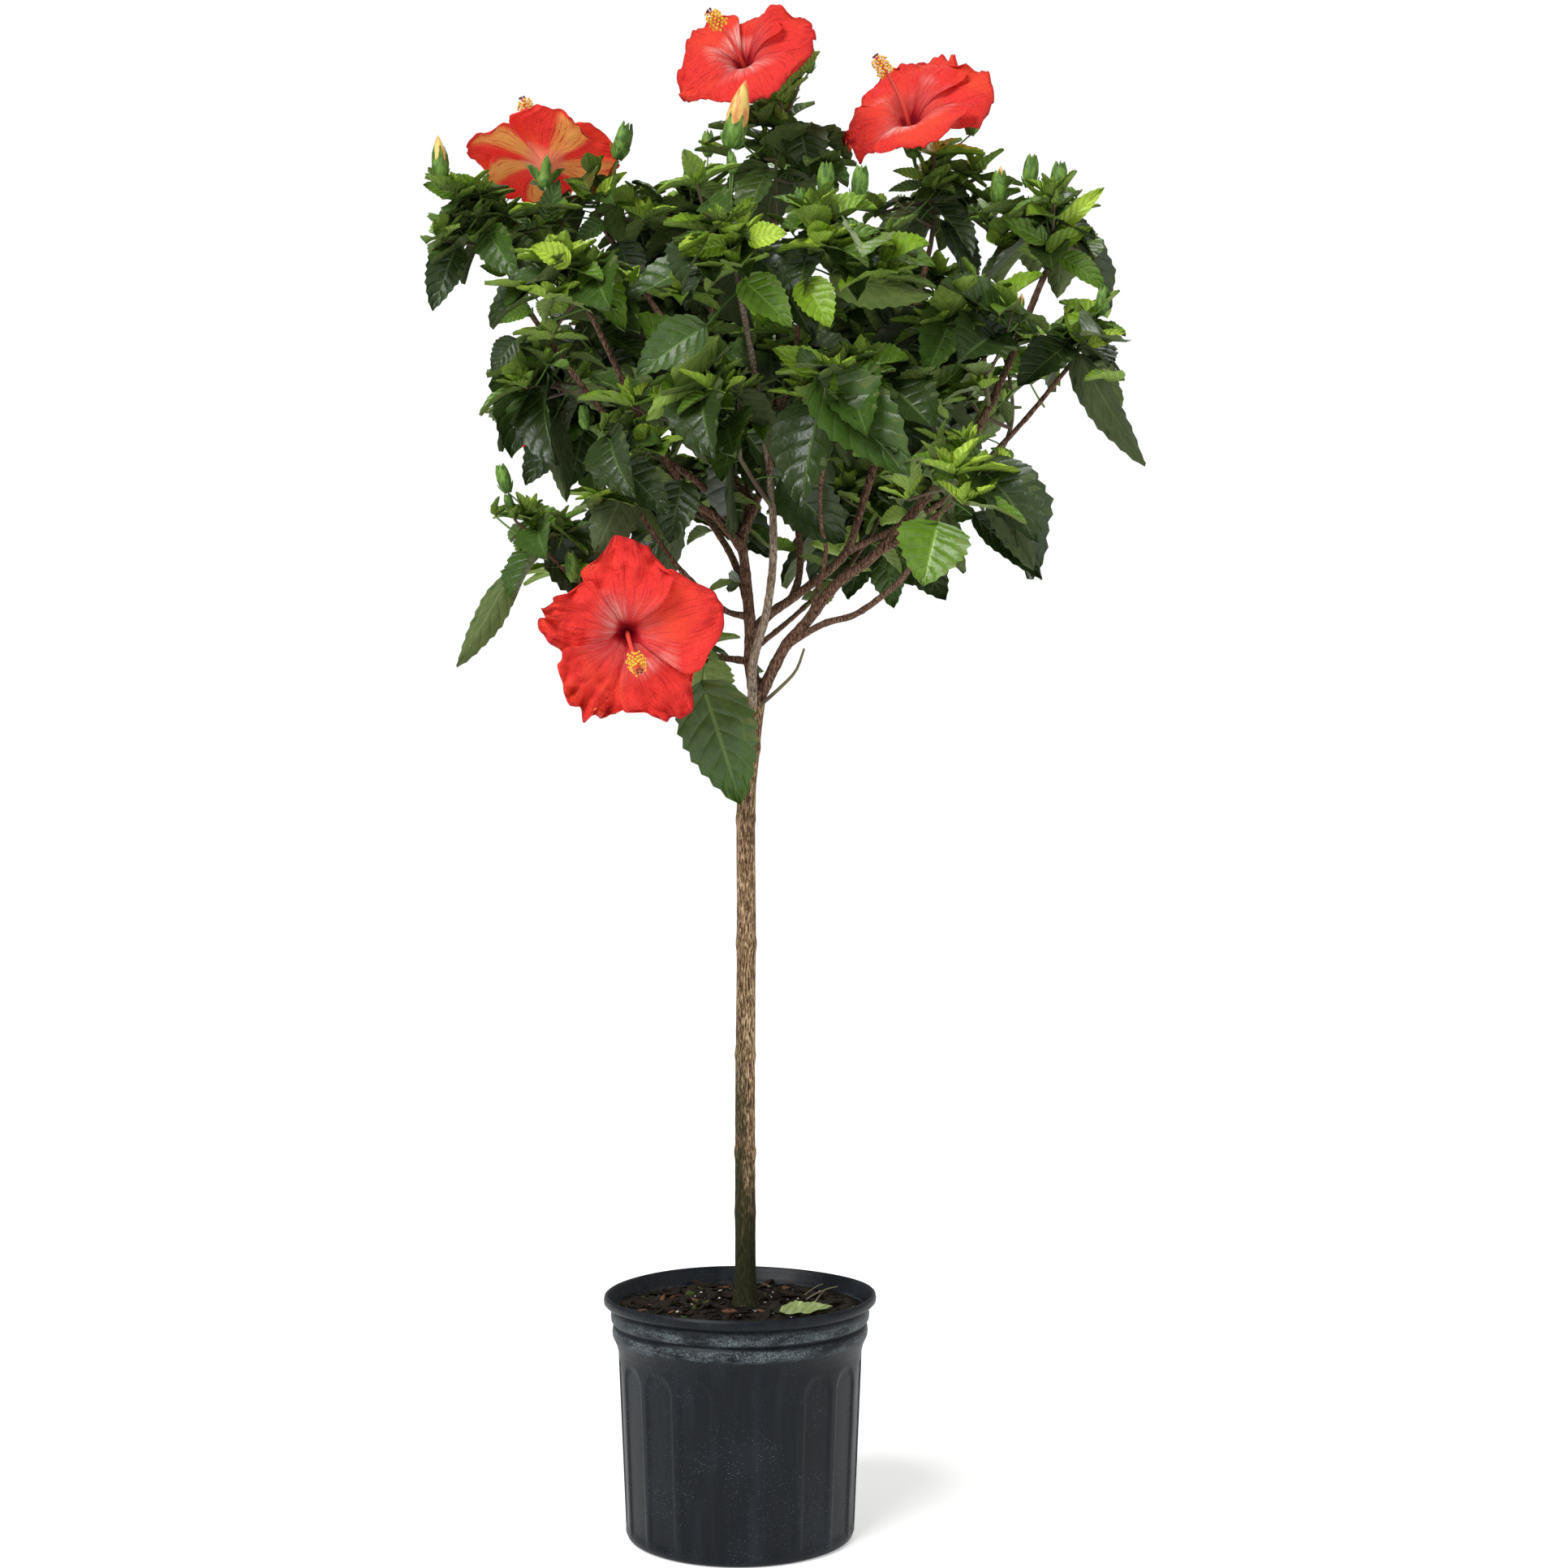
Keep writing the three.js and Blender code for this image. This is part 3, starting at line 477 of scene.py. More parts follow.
plastic = Finish("charcoal_plastic", (0.02, 0.023, 0.028), 0.55, specular=0.17)
wall_place = plastic.place()
level = plastic.along_axis(2)
streaks = plastic.noise(plastic.place((1, 1, 0.12)), 70, 4, 0.6)
clouds = plastic.noise(wall_place, 16, 4, 0.6)
grain = plastic.noise(wall_place, 900, 2, 0.6)
specks = plastic.cells(wall_place, 420).step(0.2, 0.06) * clouds.step(0.36, 0.6)
bands = level.step(*BANDS_START) * level.step(*BANDS_END)
groove = abs(level - GROOVE_LEVEL).step(*GROOVE_EDGE)
smears = plastic.noise(plastic.place((1, 1, 3)), 30, 6, 0.75)
dots = plastic.noise(wall_place, 760, 3, 0.7)
chalk = bands * groove * smears.step(0.4, 0.62) * dots.step(0.36, 0.62)
dusty = streaks.step(0.4, 0.75) * 0.5 + clouds.step(0.45, 0.7) * 0.35
worn = plastic.blend(dusty, (0.0035, 0.005, 0.0075), (0.0135, 0.0175, 0.0225))
worn = plastic.blend(specks * 0.8, worn, (0.12, 0.16, 0.18))
worn = plastic.blend(chalk * 0.6, worn, (0.2, 0.24, 0.26))
plastic.set("Base Color", worn)
plastic.set("Roughness", 0.42 + dusty * 0.16 + chalk * 0.3)
plastic.relief(grain * 0.5 + streaks * 0.5, 0.25 * MM, 0.5)
coat(pot, plastic)
hand_over(pot, "pot_plastic", "pot")

# %% [markdown]
# ## The soil
# Bark and peat mix is lumpy. The plug of soil that fills the pot is spun like the pot, its top is
# raised and lowered by noise, and chips of bark, white perlite and moss are then strewn on it.

# %% The plug of soil
soil_low, soil_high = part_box("potting_soil")
SOIL_TOP = soil_high.z - 2 * MM
SOIL_RADIUS = 117.2 * MM
SOIL_FOOT_RADIUS = 100.5 * MM
SOIL_WAIST = (110.4 * MM, 158 * MM)
SOIL_RINGS = 46
SOIL_COLUMNS = 150
LUMPS = 2.6 * MM
LUMPS_PER_METRE = 55
RISE_AT_THE_TRUNK = 3.0 * MM
SINK = 1.0 * MM
ROUNDING = 0.1 * MM

soil_profile = [(0, soil_low.z), (SOIL_FOOT_RADIUS, soil_low.z), SOIL_WAIST, (SOIL_RADIUS, SOIL_TOP)]
soil_profile += [(SOIL_RADIUS * (1 - i / SOIL_RINGS), SOIL_TOP) for i in range(1, SOIL_RINGS + 1)]
soil = spun("soil_plug", soil_profile, SOIL_COLUMNS)


def soil_height(x, y):
    """The soil's lumpy top: it rises to the trunk's foot and sinks a little at the pot's wall."""
    out = math.hypot(x, y) / SOIL_RADIUS
    lumps = noise.fractal(Vector((x, y, 0.3)) * LUMPS_PER_METRE, 0.8, 2.1, 4) * LUMPS
    return SOIL_TOP + RISE_AT_THE_TRUNK * (1 - out) - SINK + lumps * min(1, 3 * (1.02 - out))


ground = corners_of(soil)
for i, (x, y, z) in enumerate(ground):
    if z > SOIL_TOP - ROUNDING:
        ground[i, 2] = soil_height(x, y)
move_corners(soil, ground)
smooth(soil)

soil_mix = Finish("bark_mix", (0.03, 0.02, 0.014), 0.95, specular=0.05)
lump_place = soil_mix.place()
crumbs = soil_mix.noise(lump_place, 260, 5, 0.7)
patches = soil_mix.noise(lump_place, 45, 3, 0.5)
shade = soil_mix.blend(crumbs.step(0.38, 0.66), (0.002, 0.0016, 0.0013), (0.022, 0.016, 0.011))
green = patches.step(0.6, 0.74) * crumbs.step(0.45, 0.6)
soil_mix.set("Base Color", soil_mix.blend(green * 0.5, shade, (0.05, 0.075, 0.02)))
soil_mix.relief(crumbs, 1.6 * MM)
coat(soil, soil_mix)
hand_over(soil, "potting_mix", "potting_soil")

# %% [markdown]
# ## Many small things from one
# What repeats is modelled once. Each copy's corners are worked out as arrays, and all the copies go
# into one mesh, which keeps the charts of the first.

# %% Copies as one mesh


class Pattern:
    """The corners, faces, finishes and charts of one modelled thing, which is then taken away."""

    def __init__(self, piece):
        data = piece.data
        self.places = corners_of(piece)
        self.faces = [tuple(face.vertices) for face in data.polygons]
        self.slots = [face.material_index for face in data.polygons]
        self.charts = {}
        for chart in data.uv_layers:
            uv = np.empty(len(data.loops) * 2)
            chart.data.foreach_get("uv", uv)
            self.charts[chart.name] = uv
        bpy.data.objects.remove(piece)


def as_one(name, pattern, copies, *finishes):
    """copies holds one array of corners for each copy of the pattern. They become one mesh."""
    count = len(pattern.places)
    corners = np.concatenate(copies)
    loops = np.concatenate([np.array(face) for face in pattern.faces])
    sizes = np.array([len(face) for face in pattern.faces])
    data = bpy.data.meshes.new(name)
    data.vertices.add(len(corners))
    data.vertices.foreach_set("co", corners.ravel())
    data.loops.add(len(loops) * len(copies))
    all_loops = (loops[None, :] + np.arange(len(copies))[:, None] * count).ravel()
    data.loops.foreach_set("vertex_index", all_loops)
    all_sizes = np.tile(sizes, len(copies))
    data.polygons.add(len(all_sizes))
    data.polygons.foreach_set("loop_start", np.concatenate([[0], np.cumsum(all_sizes)[:-1]]))
    data.polygons.foreach_set("loop_total", all_sizes)
    for chart, uv in pattern.charts.items():
        data.uv_layers.new(name=chart).data.foreach_set("uv", np.tile(uv, len(copies)))
    for finish in finishes:
        data.materials.append(finish.material)
    data.polygons.foreach_set("material_index", np.tile(pattern.slots, len(copies)))
    data.update(calc_edges=True)
    data.validate()
    piece = put(name, data)
    smooth(piece)
    return piece


def turned_copy(pattern, place, basis, size):
    """One copy of the pattern at a place, turned to a basis of three axes and sized along them."""
    return (pattern.places * np.array(size)) @ np.array(basis) + np.array(place)


def free_basis(draw, lean):
    """Three axes at right angles, turned freely about the upright and leaning by up to this much."""
    turned = Matrix.Rotation(draw() * math.tau, 3, "Z")
    tipped = Matrix.Rotation(lean * (draw() - 0.5) * 2, 3, "X")
    rolled = Matrix.Rotation(lean * (draw() - 0.5), 3, "Y")
    return (turned @ (tipped @ rolled)).transposed()


# %% [markdown]
# A chip of bark is a flat splinter with a broken outline, and a grain of perlite is a puffed crumb.
# Both start as a round ball of few faces, which is squashed and knocked out of shape.

# %% Chips and grains on the soil


def knocked(name, detail, squash, roughness, seed):
    """A ball that is squashed along its axes and knocked out of shape by noise."""
    bpy.ops.mesh.primitive_ico_sphere_add(subdivisions=detail, radius=1)
    piece = named(name)
    edit(piece)
    bpy.ops.transform.resize(value=squash)
    leave_edit()
    places = corners_of(piece)
    for i, place in enumerate(places):
        places[i] = place * (1 + roughness * noise.noise(Vector(place) * 2.3 + Vector((seed, 0, 0))))
    move_corners(piece, places)
    return Pattern(piece)


TRUNK_FOOT = (5 * MM, 0)
OFF_THE_TRUNK = 20 * MM
OFF_THE_WALL = 0.955


def strewn(pattern, count, sizes, lean, seed):
    """Copies of a crumb lie all over the soil, half sunk, off the trunk's foot and the wall."""
    draw = seeded(seed)
    copies = []
    while len(copies) < count:
        out = SOIL_RADIUS * OFF_THE_WALL * math.sqrt(draw())
        way = draw() * math.tau
        x, y = out * math.cos(way), out * math.sin(way)
        size = mix(*sizes, draw() ** 2) * MM
        if math.dist((x, y), TRUNK_FOOT) < OFF_THE_TRUNK or out + size > SOIL_RADIUS:
            continue
        place = (x, y, soil_height(x, y) + size * 0.12)
        copies.append(turned_copy(pattern, place, free_basis(draw, lean), (size, size, size)))
    return copies


dark_bark = Finish("dark_chip", (0.013, 0.009, 0.006), 0.9, specular=0.1)
dark_bark.grit(700, 0.5 * MM)
red_bark = Finish("red_chip", (0.11, 0.05, 0.025), 0.85, specular=0.1)
red_bark.grit(700, 0.5 * MM)
pale_grain = Finish("perlite", (0.55, 0.54, 0.48), 0.9)
pale_grain.grit(900, 0.4 * MM)
blue_grain = Finish("feed_grain", (0.05, 0.12, 0.1), 0.5)
moss = Finish("moss", (0.042, 0.062, 0.012), 0.95, specular=0.1)
moss.grit(1200, 0.8 * MM)

chip = knocked("chip", 2, (1, 0.42, 0.16), 0.9, 1)
crumb = knocked("crumb", 2, (1, 0.8, 0.7), 0.7, 5)
# piece, pattern, finish, how many, sizes in millimetres, lean and seed
for name, pattern, finish, *spread in (
    ("bark_chips_dark", chip, dark_bark, 420, (3.5, 13), 0.5, 11),
    ("bark_chips_red", chip, red_bark, 60, (2.5, 9), 0.5, 23),
    ("perlite_grains", crumb, pale_grain, 70, (0.8, 2.1), 1.0, 31),
    ("feed_grains", crumb, blue_grain, 60, (0.8, 1.5), 1.0, 37),
    ("moss_tufts", crumb, moss, 22, (2, 5), 0.4, 41),
):
    hand_over(as_one(name, pattern, strewn(pattern, *spread), finish), "potting_mix")

# %% [markdown]
# ## Where the wood grows
# The engineering model says where each limb leaves the last one, which places it passes and how
# thick it is. The same places are given here, as they show against the plane of the trunk together
# with their depth behind it, so that the finished wood lies inside the frame's own limbs.

# %% Places and lines


def seen(place):
    """The point in space that shows at (across, height) against the plane of the trunk, at a depth."""
    across, depth, height = place
    spread = (depth * MM - EYE.y) / -EYE.y
    return Vector((
        EYE.x + (across * MM - EYE.x) * spread,
        depth * MM,
        EYE.z + (height * MM - EYE.z) * spread,
    ))


class Line:
    """A line through space that is walked by its length, from 0 at its foot to 1 at its tip."""

    STEPS = 200

    def __init__(self, point_at):
        self.point_at = point_at
        points = [point_at(i / self.STEPS) for i in range(self.STEPS + 1)]
        steps = [(b - a).length for a, b in zip(points, points[1:])]
        self.walked = np.concatenate([[0], np.cumsum(steps)])
        self.length = float(self.walked[-1])

    def stop(self, share):
        """Where point_at has to be asked for the point at a share of the length."""
        return float(np.interp(share * self.length, self.walked, np.linspace(0, 1, self.STEPS + 1)))

    def at(self, share):
        return self.point_at(self.stop(share))

    def heading(self, share):
        middle = self.stop(share)
        return (self.point_at(min(1, middle + 1e-4)) - self.point_at(max(0, middle - 1e-4))).normalized()


def through(points):
    """A smooth line through points, each stretch bent to run on into the next."""
    ends = [points[0] * 2 - points[1], *points, points[-1] * 2 - points[-2]]
    stretches = len(points) - 1

    def point_at(t):
        index = min(int(t * stretches), stretches - 1)
        t = t * stretches - index
        before, start, end, after = ends[index:index + 4]
        leave = (end - before) * 0.5
        arrive = (after - start) * 0.5
        cubic = (start - end) * 2 + leave + arrive
        square = (end - start) * 3 - leave * 2 - arrive
        return start + leave * t + square * (t * t) + cubic * (t * t * t)

    return Line(point_at)


def bent(start, bend, end):
    """A line from start to end that is drawn aside towards bend."""
    return Line(lambda t: start * ((1 - t) ** 2) + bend * (2 * t * (1 - t)) + end * (t * t))


# %% [markdown]
# The trunk leans a little and turns to the right under the fork. Each bough leaves the trunk, the
# leader or another bough at a share of its length.

# %% The trunk and the boughs
# (across, depth, height) in millimetres
TRUNK_PLACES = [
    (5, 0, 213.3), (4.6, 0, 400), (5.6, 1, 560), (5.4, 1, 680), (9.5, 1, 732), (15.5, 3, 784),
]
FOOT_RADIUS = 13.2 * MM
TRUNK_RADIUS = 9.9 * MM
TRUNK_TOP_RADIUS = 8.7 * MM

# name: (carrier, share of the carrier's length, places as they are seen, radii at foot and tip)
LIMBS = {
    "leader": ("trunk", 1, [
        (9.5, 6, 814), (9.5, 8, 841), (8, 8, 865), (4, 6, 906), (1, 5, 932),
    ], (6.4, 4.6)),
    "bough_front": ("trunk", 0.965, [
        (12, -15, 812), (26, -26, 869), (31, -38, 924), (28, -52, 985), (17, -88, 1065), (0, -138, 1160),
    ], (4.3, 2.9)),
    "bough_right": ("trunk", 0.985, [
        (41, -4, 828), (60, -10, 850), (91, -18, 889), (136, -30, 926), (222, -44, 1034), (286, -34, 1180),
    ], (5.8, 3)),
    "bough_right_upper": ("leader", 0.4, [
        (30, 16, 862), (50, 24, 876), (96, 44, 914), (113, 56, 958), (145, 66, 1070), (177, 54, 1200),
    ], (4.6, 2.7)),
    "bough_top": ("leader", 1, [
        (14, 10, 962), (27, 16, 1005), (35, 22, 1070), (36, 20, 1165), (33, 14, 1235),
    ], (4.2, 2.8)),
    "bough_left_front": ("leader", 0.93, [
        (-23, -14, 951), (-46, -24, 970), (-94, -50, 1045), (-119, -66, 1098), (-142, -80, 1145),
    ], (4.1, 2.8)),
    "bough_left": ("leader", 0.97, [
        (-20, 20, 962), (-48, 30, 990), (-118, 42, 1038), (-189, 44, 1131), (-218, 40, 1182),
    ], (3.8, 2.6)),
    "bough_upper_left": ("bough_top", 0.1, [
        (-8, 30, 990), (-22, 44, 1025), (-35, 58, 1075), (-88, 72, 1160), (-130, 74, 1225),
    ], (3.7, 2.6)),
    "bough_low_left": ("leader", 0.22, [
        (-29, -8, 822), (-70, -24, 838), (-110, -40, 865), (-150, -56, 890), (-176, -62, 912),
    ], (3.3, 2.2)),
    "bough_inner_left": ("leader", 0.5, [
        (-18, -6, 866), (-57, -24, 903), (-83, -40, 938), (-102, -52, 968),
    ], (3, 2.1)),
    "bough_low_right": ("bough_right", 0.13, [
        (78, -22, 851), (108, -42, 860), (139, -76, 882), (158, -100, 902), (194, -160, 965),
    ], (3.5, 2.3)),
    "bough_right_lower": ("bough_right", 0.37, [
        (187, -48, 955), (235, -60, 1008), (270, -64, 1046), (306, -62, 1090),
    ], (3.2, 2.3)),
    "bough_right_inner": ("bough_right", 0.2, [
        (80, -32, 915), (76, -50, 943), (76, -76, 985), (88, -110, 1035),
    ], (2.3, 1.9)),
    "bough_front_fork": ("bough_front", 0.58, [
        (36, -86, 1040), (48, -108, 1085), (56, -126, 1140), (61, -134, 1182),
    ], (2.6, 2.1)),
    "bough_back_right": ("bough_right_upper", 0.3, [
        (140, 74, 938), (190, 104, 966), (236, 128, 1005),
    ], (3.6, 2.4)),
    "bough_back": ("bough_right_upper", 0.13, [
        (56, 46, 905), (53, 66, 956), (50, 108, 1010), (44, 150, 1050),
    ], (3.6, 2.4)),
    "bough_back_low_right": ("leader", 0.28, [
        (41, 26, 850), (66, 52, 872), (96, 96, 898), (120, 150, 930),
    ], (2.8, 2.1)),
    "bough_back_left": ("leader", 0.6, [
        (-10, 50, 918), (-40, 98, 962), (-80, 140, 1012), (-112, 168, 1060),
    ], (3.8, 2.5)),
    "bough_back_top": ("bough_top", 0.04, [
        (6, 60, 985), (-6, 104, 1050), (-22, 134, 1120), (-30, 144, 1165),
    ], (3.5, 2.4)),
}

lines = {"trunk": through([Vector(place) * MM for place in TRUNK_PLACES])}
radii = {"trunk": (TRUNK_RADIUS, TRUNK_TOP_RADIUS)}
for name, (carrier, share, places, thickness) in LIMBS.items():
    lines[name] = through([lines[carrier].at(share), *(seen(place) for place in places)])
    radii[name] = (thickness[0] * MM, thickness[1] * MM)


def radius_at(name, share):
    return mix(*radii[name], share)


# %% [markdown]
# Wood is drawn as a thick line: a curve whose points each have a radius, with a round section. It is
# then made a mesh, whose corners are moved in and out to give the bark its ridges.

# %% Wood as thick lines


def thick_lines(name, strands, section, *finishes):
    """strands holds (points, radii) for each line. section says how many steps round it are added."""
    data = bpy.data.curves.new(name, "CURVE")
    data.dimensions = "3D"
    data.bevel_depth = 1.0
    data.bevel_resolution = section
    data.use_fill_caps = True
    for points, widths in strands:
        spline = data.splines.new("POLY")
        spline.points.add(len(points) - 1)
        for slot, point, width in zip(spline.points, points, widths):
            slot.co = (*point, 1)
            slot.radius = width
    piece = put(name, data)
    pick(piece)
    bpy.ops.object.convert(target="MESH")
    smooth(piece)
    coat(piece, *finishes)
    return piece


def roughen(piece, depth, size, stretch, seed):
    """Moves each corner along its normal by noise that runs with the grain."""
    normals = np.empty(len(piece.data.vertices) * 3)
    piece.data.vertices.foreach_get("normal", normals)
    normals = normals.reshape(-1, 3)
    places = corners_of(piece)
    for i, place in enumerate(places):
        spot = Vector((place[0] / size, place[1] / size, place[2] / (size * stretch) + seed))
        ridges = 1 - 2 * abs(noise.noise(spot))
        lumps = noise.noise(spot * 0.37 + Vector((seed, 3, 7)))
        places[i] += normals[i] * depth * (ridges * 0.6 + lumps * 0.7 - 0.5)
    move_corners(piece, places)


# %% [markdown]
# The trunk flares at its foot and swells at the knots that its cut side shoots have left. The rows of
# its thick line are close enough together for the ridges to be modelled.

# %% The trunk
TRUNK_ROW = 2.4 * MM
TRUNK_SECTION = 26
FLARE_SHARE = 0.06
TRUNK_KNOTS = [(551, 1.0), (447, 0.9), (356, 1.1), (668, 0.7), (300, 0.6), (735, 0.9)]
KNOT_HALF_HEIGHT = 5 * MM
ROOM_FOR_RIDGES = 0.15 * MM

trunk_line = lines["trunk"]
rows = round(trunk_line.length / TRUNK_ROW)
trunk_points = [trunk_line.at(i / rows) for i in range(rows + 1)]
trunk_widths = []
for i, point in enumerate(trunk_points):
    share = i / rows
    flare = max(0, 1 - share / FLARE_SHARE) ** 2
    width = radius_at("trunk", share) + (FOOT_RADIUS - TRUNK_RADIUS) * flare
    for knot, swell in TRUNK_KNOTS:
        width += swell * MM * math.exp(-((point.z - knot * MM) / KNOT_HALF_HEIGHT) ** 2)
    trunk_widths.append(width - ROOM_FOR_RIDGES)
trunk = thick_lines("trunk_bark", [(trunk_points, trunk_widths)], TRUNK_SECTION)
roughen(trunk, 0.5 * MM, 2.4 * MM, 7, 2.0)

# %% [markdown]
# Old bark is grey-brown and split by fine upright cracks, with moss round its foot. Low on its left
# side a dark green is partly moss and partly painted shade. Noise that is drawn out along the trunk
# gives the cracks, both as colour and as relief.
# Younger wood on the boughs is darker and redder, but for one grey bough at the front.

# %% Bark
MOSS_AND_SHADE_GREEN = (0.008, 0.014, 0.003)


def bark_finish(name, crack, mid, high, mossy_and_shaded=False):
    finish = Finish(name, mid, 0.85, specular=0.15)
    cracks = finish.noise(finish.place((1, 1, 0.17)), 840, 5, 0.65)
    plates = finish.noise(finish.place((1, 1, 0.4)), 90, 3, 0.5)
    scales = finish.cells(finish.place((1, 1, 0.3)), 330)
    color = finish.blend(cracks.step(0.38, 0.5), crack, mid)
    color = finish.blend((cracks + plates * 0.25).step(0.62, 0.76), color, high)
    # Moss at the foot. Low on the left side the same dark green is partly moss and partly painted shade.
    if mossy_and_shaded:
        level = finish.along_axis(2)
        low = level.step(0.62, 0.3)
        left = finish.along_axis(0).step(0.012, 0.0)
        foot = (level + plates * 0.1).step(0.46, 0.31)
        moss_and_shade_cover = finish.maths("MAXIMUM", low * left * plates.step(0.24, 0.46), foot)
        color = finish.blend(moss_and_shade_cover * 0.94, color, MOSS_AND_SHADE_GREEN)
    finish.set("Base Color", color)
    finish.relief(cracks * 0.7 + scales * 0.3, 1.1 * MM)
    return finish


# crack, middle and ridge
old_bark = bark_finish(
    "old_bark", (0.026, 0.016, 0.007), (0.165, 0.098, 0.049), (0.54, 0.38, 0.23), mossy_and_shaded=True
)
red_wood = bark_finish("bough_bark", (0.03, 0.015, 0.01), (0.115, 0.06, 0.038), (0.27, 0.17, 0.115))
grey_wood = bark_finish("grey_bark", (0.07, 0.05, 0.035), (0.23, 0.175, 0.125), (0.42, 0.35, 0.27))
coat(trunk, old_bark)
hand_over(trunk, "bark", "trunk")

# %% [markdown]
# The boughs are thick lines too. A limb swells where it leaves its carrier, and at the scars of the
# leaves that it has dropped. The one grey bough is a piece of its own, because its finish is.

# %% The boughs
BOUGH_ROW = 2.6 * MM
BOUGH_SECTION = 8
COLLAR = 9 * MM
COLLAR_SWELL = 0.45
SCAR_STEP = 21 * MM
SCAR_SHIFT = 5 * MM
SCAR_HALF_HEIGHT = 2.2 * MM
SCAR_SWELL = 0.1
ROOM_FOR_GRAIN = 0.1 * MM
GREY_BOUGH = "bough_front"

boughs = {}
for index, name in enumerate(LIMBS):
    line = lines[name]
    rows = round(line.length / BOUGH_ROW)
    points = [line.at(i / rows) for i in range(rows + 1)]
    widths = []
    for i in range(rows + 1):
        walked = line.length * i / rows
        from_scar = (walked + index * SCAR_SHIFT) % SCAR_STEP - SCAR_STEP / 2
        scar = SCAR_SWELL * math.exp(-(from_scar / SCAR_HALF_HEIGHT) ** 2)
        collar = COLLAR_SWELL * math.exp(-walked / COLLAR)
        widths.append((radius_at(name, i / rows) - ROOM_FOR_GRAIN) * (1 + collar + scar))
    boughs[name] = (points, widths)
grey_bough = {GREY_BOUGH: boughs.pop(GREY_BOUGH)}
for title, limbs, finish in (
    ("bough_bark", boughs, red_wood),
    ("front_bough_bark", grey_bough, grey_wood),
):
    wood = thick_lines(title, list(limbs.values()), BOUGH_SECTION, finish)
    roughen(wood, 0.42 * MM, 2.6 * MM, 3, 5.0)
    hand_over(wood, "bark", *limbs)

# %% [markdown]
# ## How the foliage grows
# Each mass of foliage keeps to its own space. One stem grows on from its bough, side twigs leave it a
# golden angle apart, and leaves follow the same spiral along each of them. This is the rule of the
# engineering model, carried on here to short shoots, leaf stalks and the tufts at the tips.

# %% The masses of foliage
STEM_TOP = 0.5
STEM_BEND = 0.45
TWIG_ROOTS = (0.25, 0.8)
TWIG_RISES = (-0.1, 0.5)
TWIG_REACHES = (0.56, 0.7)
TWIG_BEND = (0.65, 0.2)
GOLDEN_ANGLE = math.radians(137.5)
SPACE_MARGIN = 60 * MM * MM

# name in the frame without its leaves_: (limb, share of its length, middle, reach, side twigs, seed)
MASSES = {
    "front": ("bough_front", 1, (-10, -160, 1168), (92, 72, 84), 3, 3),
    "front_fork": ("bough_front_fork", 1, (78, -150, 1172), (96, 74, 84), 3, 5),
    "left_front": ("bough_left_front", 1, (-156, -98, 1136), (88, 70, 74), 3, 8),
    "far_left": ("bough_left", 1, (-242, 36, 1196), (78, 88, 98), 3, 13),
    "upper_left": ("bough_upper_left", 1, (-128, 72, 1224), (92, 92, 72), 3, 21),
    "top": ("bough_top", 1, (40, 22, 1286), (74, 76, 88), 3, 22),
    "right_upper": ("bough_right_upper", 1, (176, 50, 1226), (92, 90, 86), 3, 29),
    "far_right": ("bough_right", 1, (290, -32, 1190), (74, 86, 92), 3, 31),
    "right_lower": ("bough_right_lower", 1, (322, -66, 1078), (76, 76, 92), 3, 37),
    "low_right": ("bough_low_right", 1, (208, -176, 962), (98, 84, 90), 3, 41),
    "right_inner": ("bough_right_inner", 1, (112, -134, 1048), (92, 76, 84), 3, 46),
    "inner_left": ("bough_inner_left", 1, (-112, -64, 990), (76, 70, 76), 3, 49),
    "low_left": ("bough_low_left", 1, (-192, -66, 903), (54, 60, 86), 2, 53),
    "low_front": ("bough_low_left", 0.3, (-34, -44, 764), (56, 60, 92), 0, 59),
    "back_right": ("bough_back_right", 1, (246, 152, 1060), (92, 92, 96), 3, 61),
    "back": ("bough_back", 1, (44, 190, 1070), (92, 84, 90), 3, 67),
    "back_low_right": ("bough_back_low_right", 1, (134, 190, 950), (94, 84, 78), 3, 71),
    "back_left": ("bough_back_left", 1, (-134, 190, 1098), (96, 92, 92), 3, 73),
    "back_top": ("bough_back_top", 1, (-34, 158, 1208), (92, 90, 86), 3, 79),
    "back_upper_right": ("bough_right_upper", 0.62, (136, 150, 1154), (82, 82, 76), 3, 83),
    "left": ("bough_left", 0.62, (-186, 60, 1048), (68, 78, 84), 3, 89),
    "right": ("bough_right", 0.72, (226, -96, 1112), (72, 72, 72), 3, 97),
    "front_low": ("bough_front", 0.5, (-48, -120, 1062), (82, 70, 84), 3, 101),
    "back_low_left": ("bough_back_left", 0.4, (-76, 146, 962), (86, 76, 62), 3, 103),
    "heart": ("bough_top", 0.32, (24, 6, 1082), (78, 64, 84), 2, 107),
}
UP = Vector((0, 0, 1))
spaces = {}
for name, (_, _, middle, reach, _, _) in MASSES.items():
    spaces[name] = (seen(middle), Vector(reach) * MM, (max(reach) * MM) ** 2)


def in_own_space(name, place, slack=1.0):
    """Whether a place is in the mass's reach, and on its side of the plane to each other mass."""
    middle, reach, power = spaces[name]
    offset = place - middle
    if Vector(part / limit for part, limit in zip(offset, reach)).length > slack:
        return False
    score = offset.length_squared - power
    for other, (far, _, other_power) in spaces.items():
        if other != name and score >= (place - far).length_squared - other_power - SPACE_MARGIN:
            return False
    return True


def stem_of(name):
    """The mass's middle shoot, which runs on from its limb and bends up to the mass's top."""
    carrier, share, _, _, _, _ = MASSES[name]
    middle, reach, _ = spaces[name]
    start = lines[carrier].at(share)
    end = middle + UP * reach.z * STEM_TOP
    heading = lines[carrier].heading(share) if share == 1 else (middle - start).normalized()
    return bent(start, start + heading * ((start - end).length * STEM_BEND), end)


def between(start, end, across, up):
    """The point that lies this share of the way across and this share of the way up."""
    return Vector((mix(start.x, end.x, across), mix(start.y, end.y, across), mix(start.z, end.z, up)))


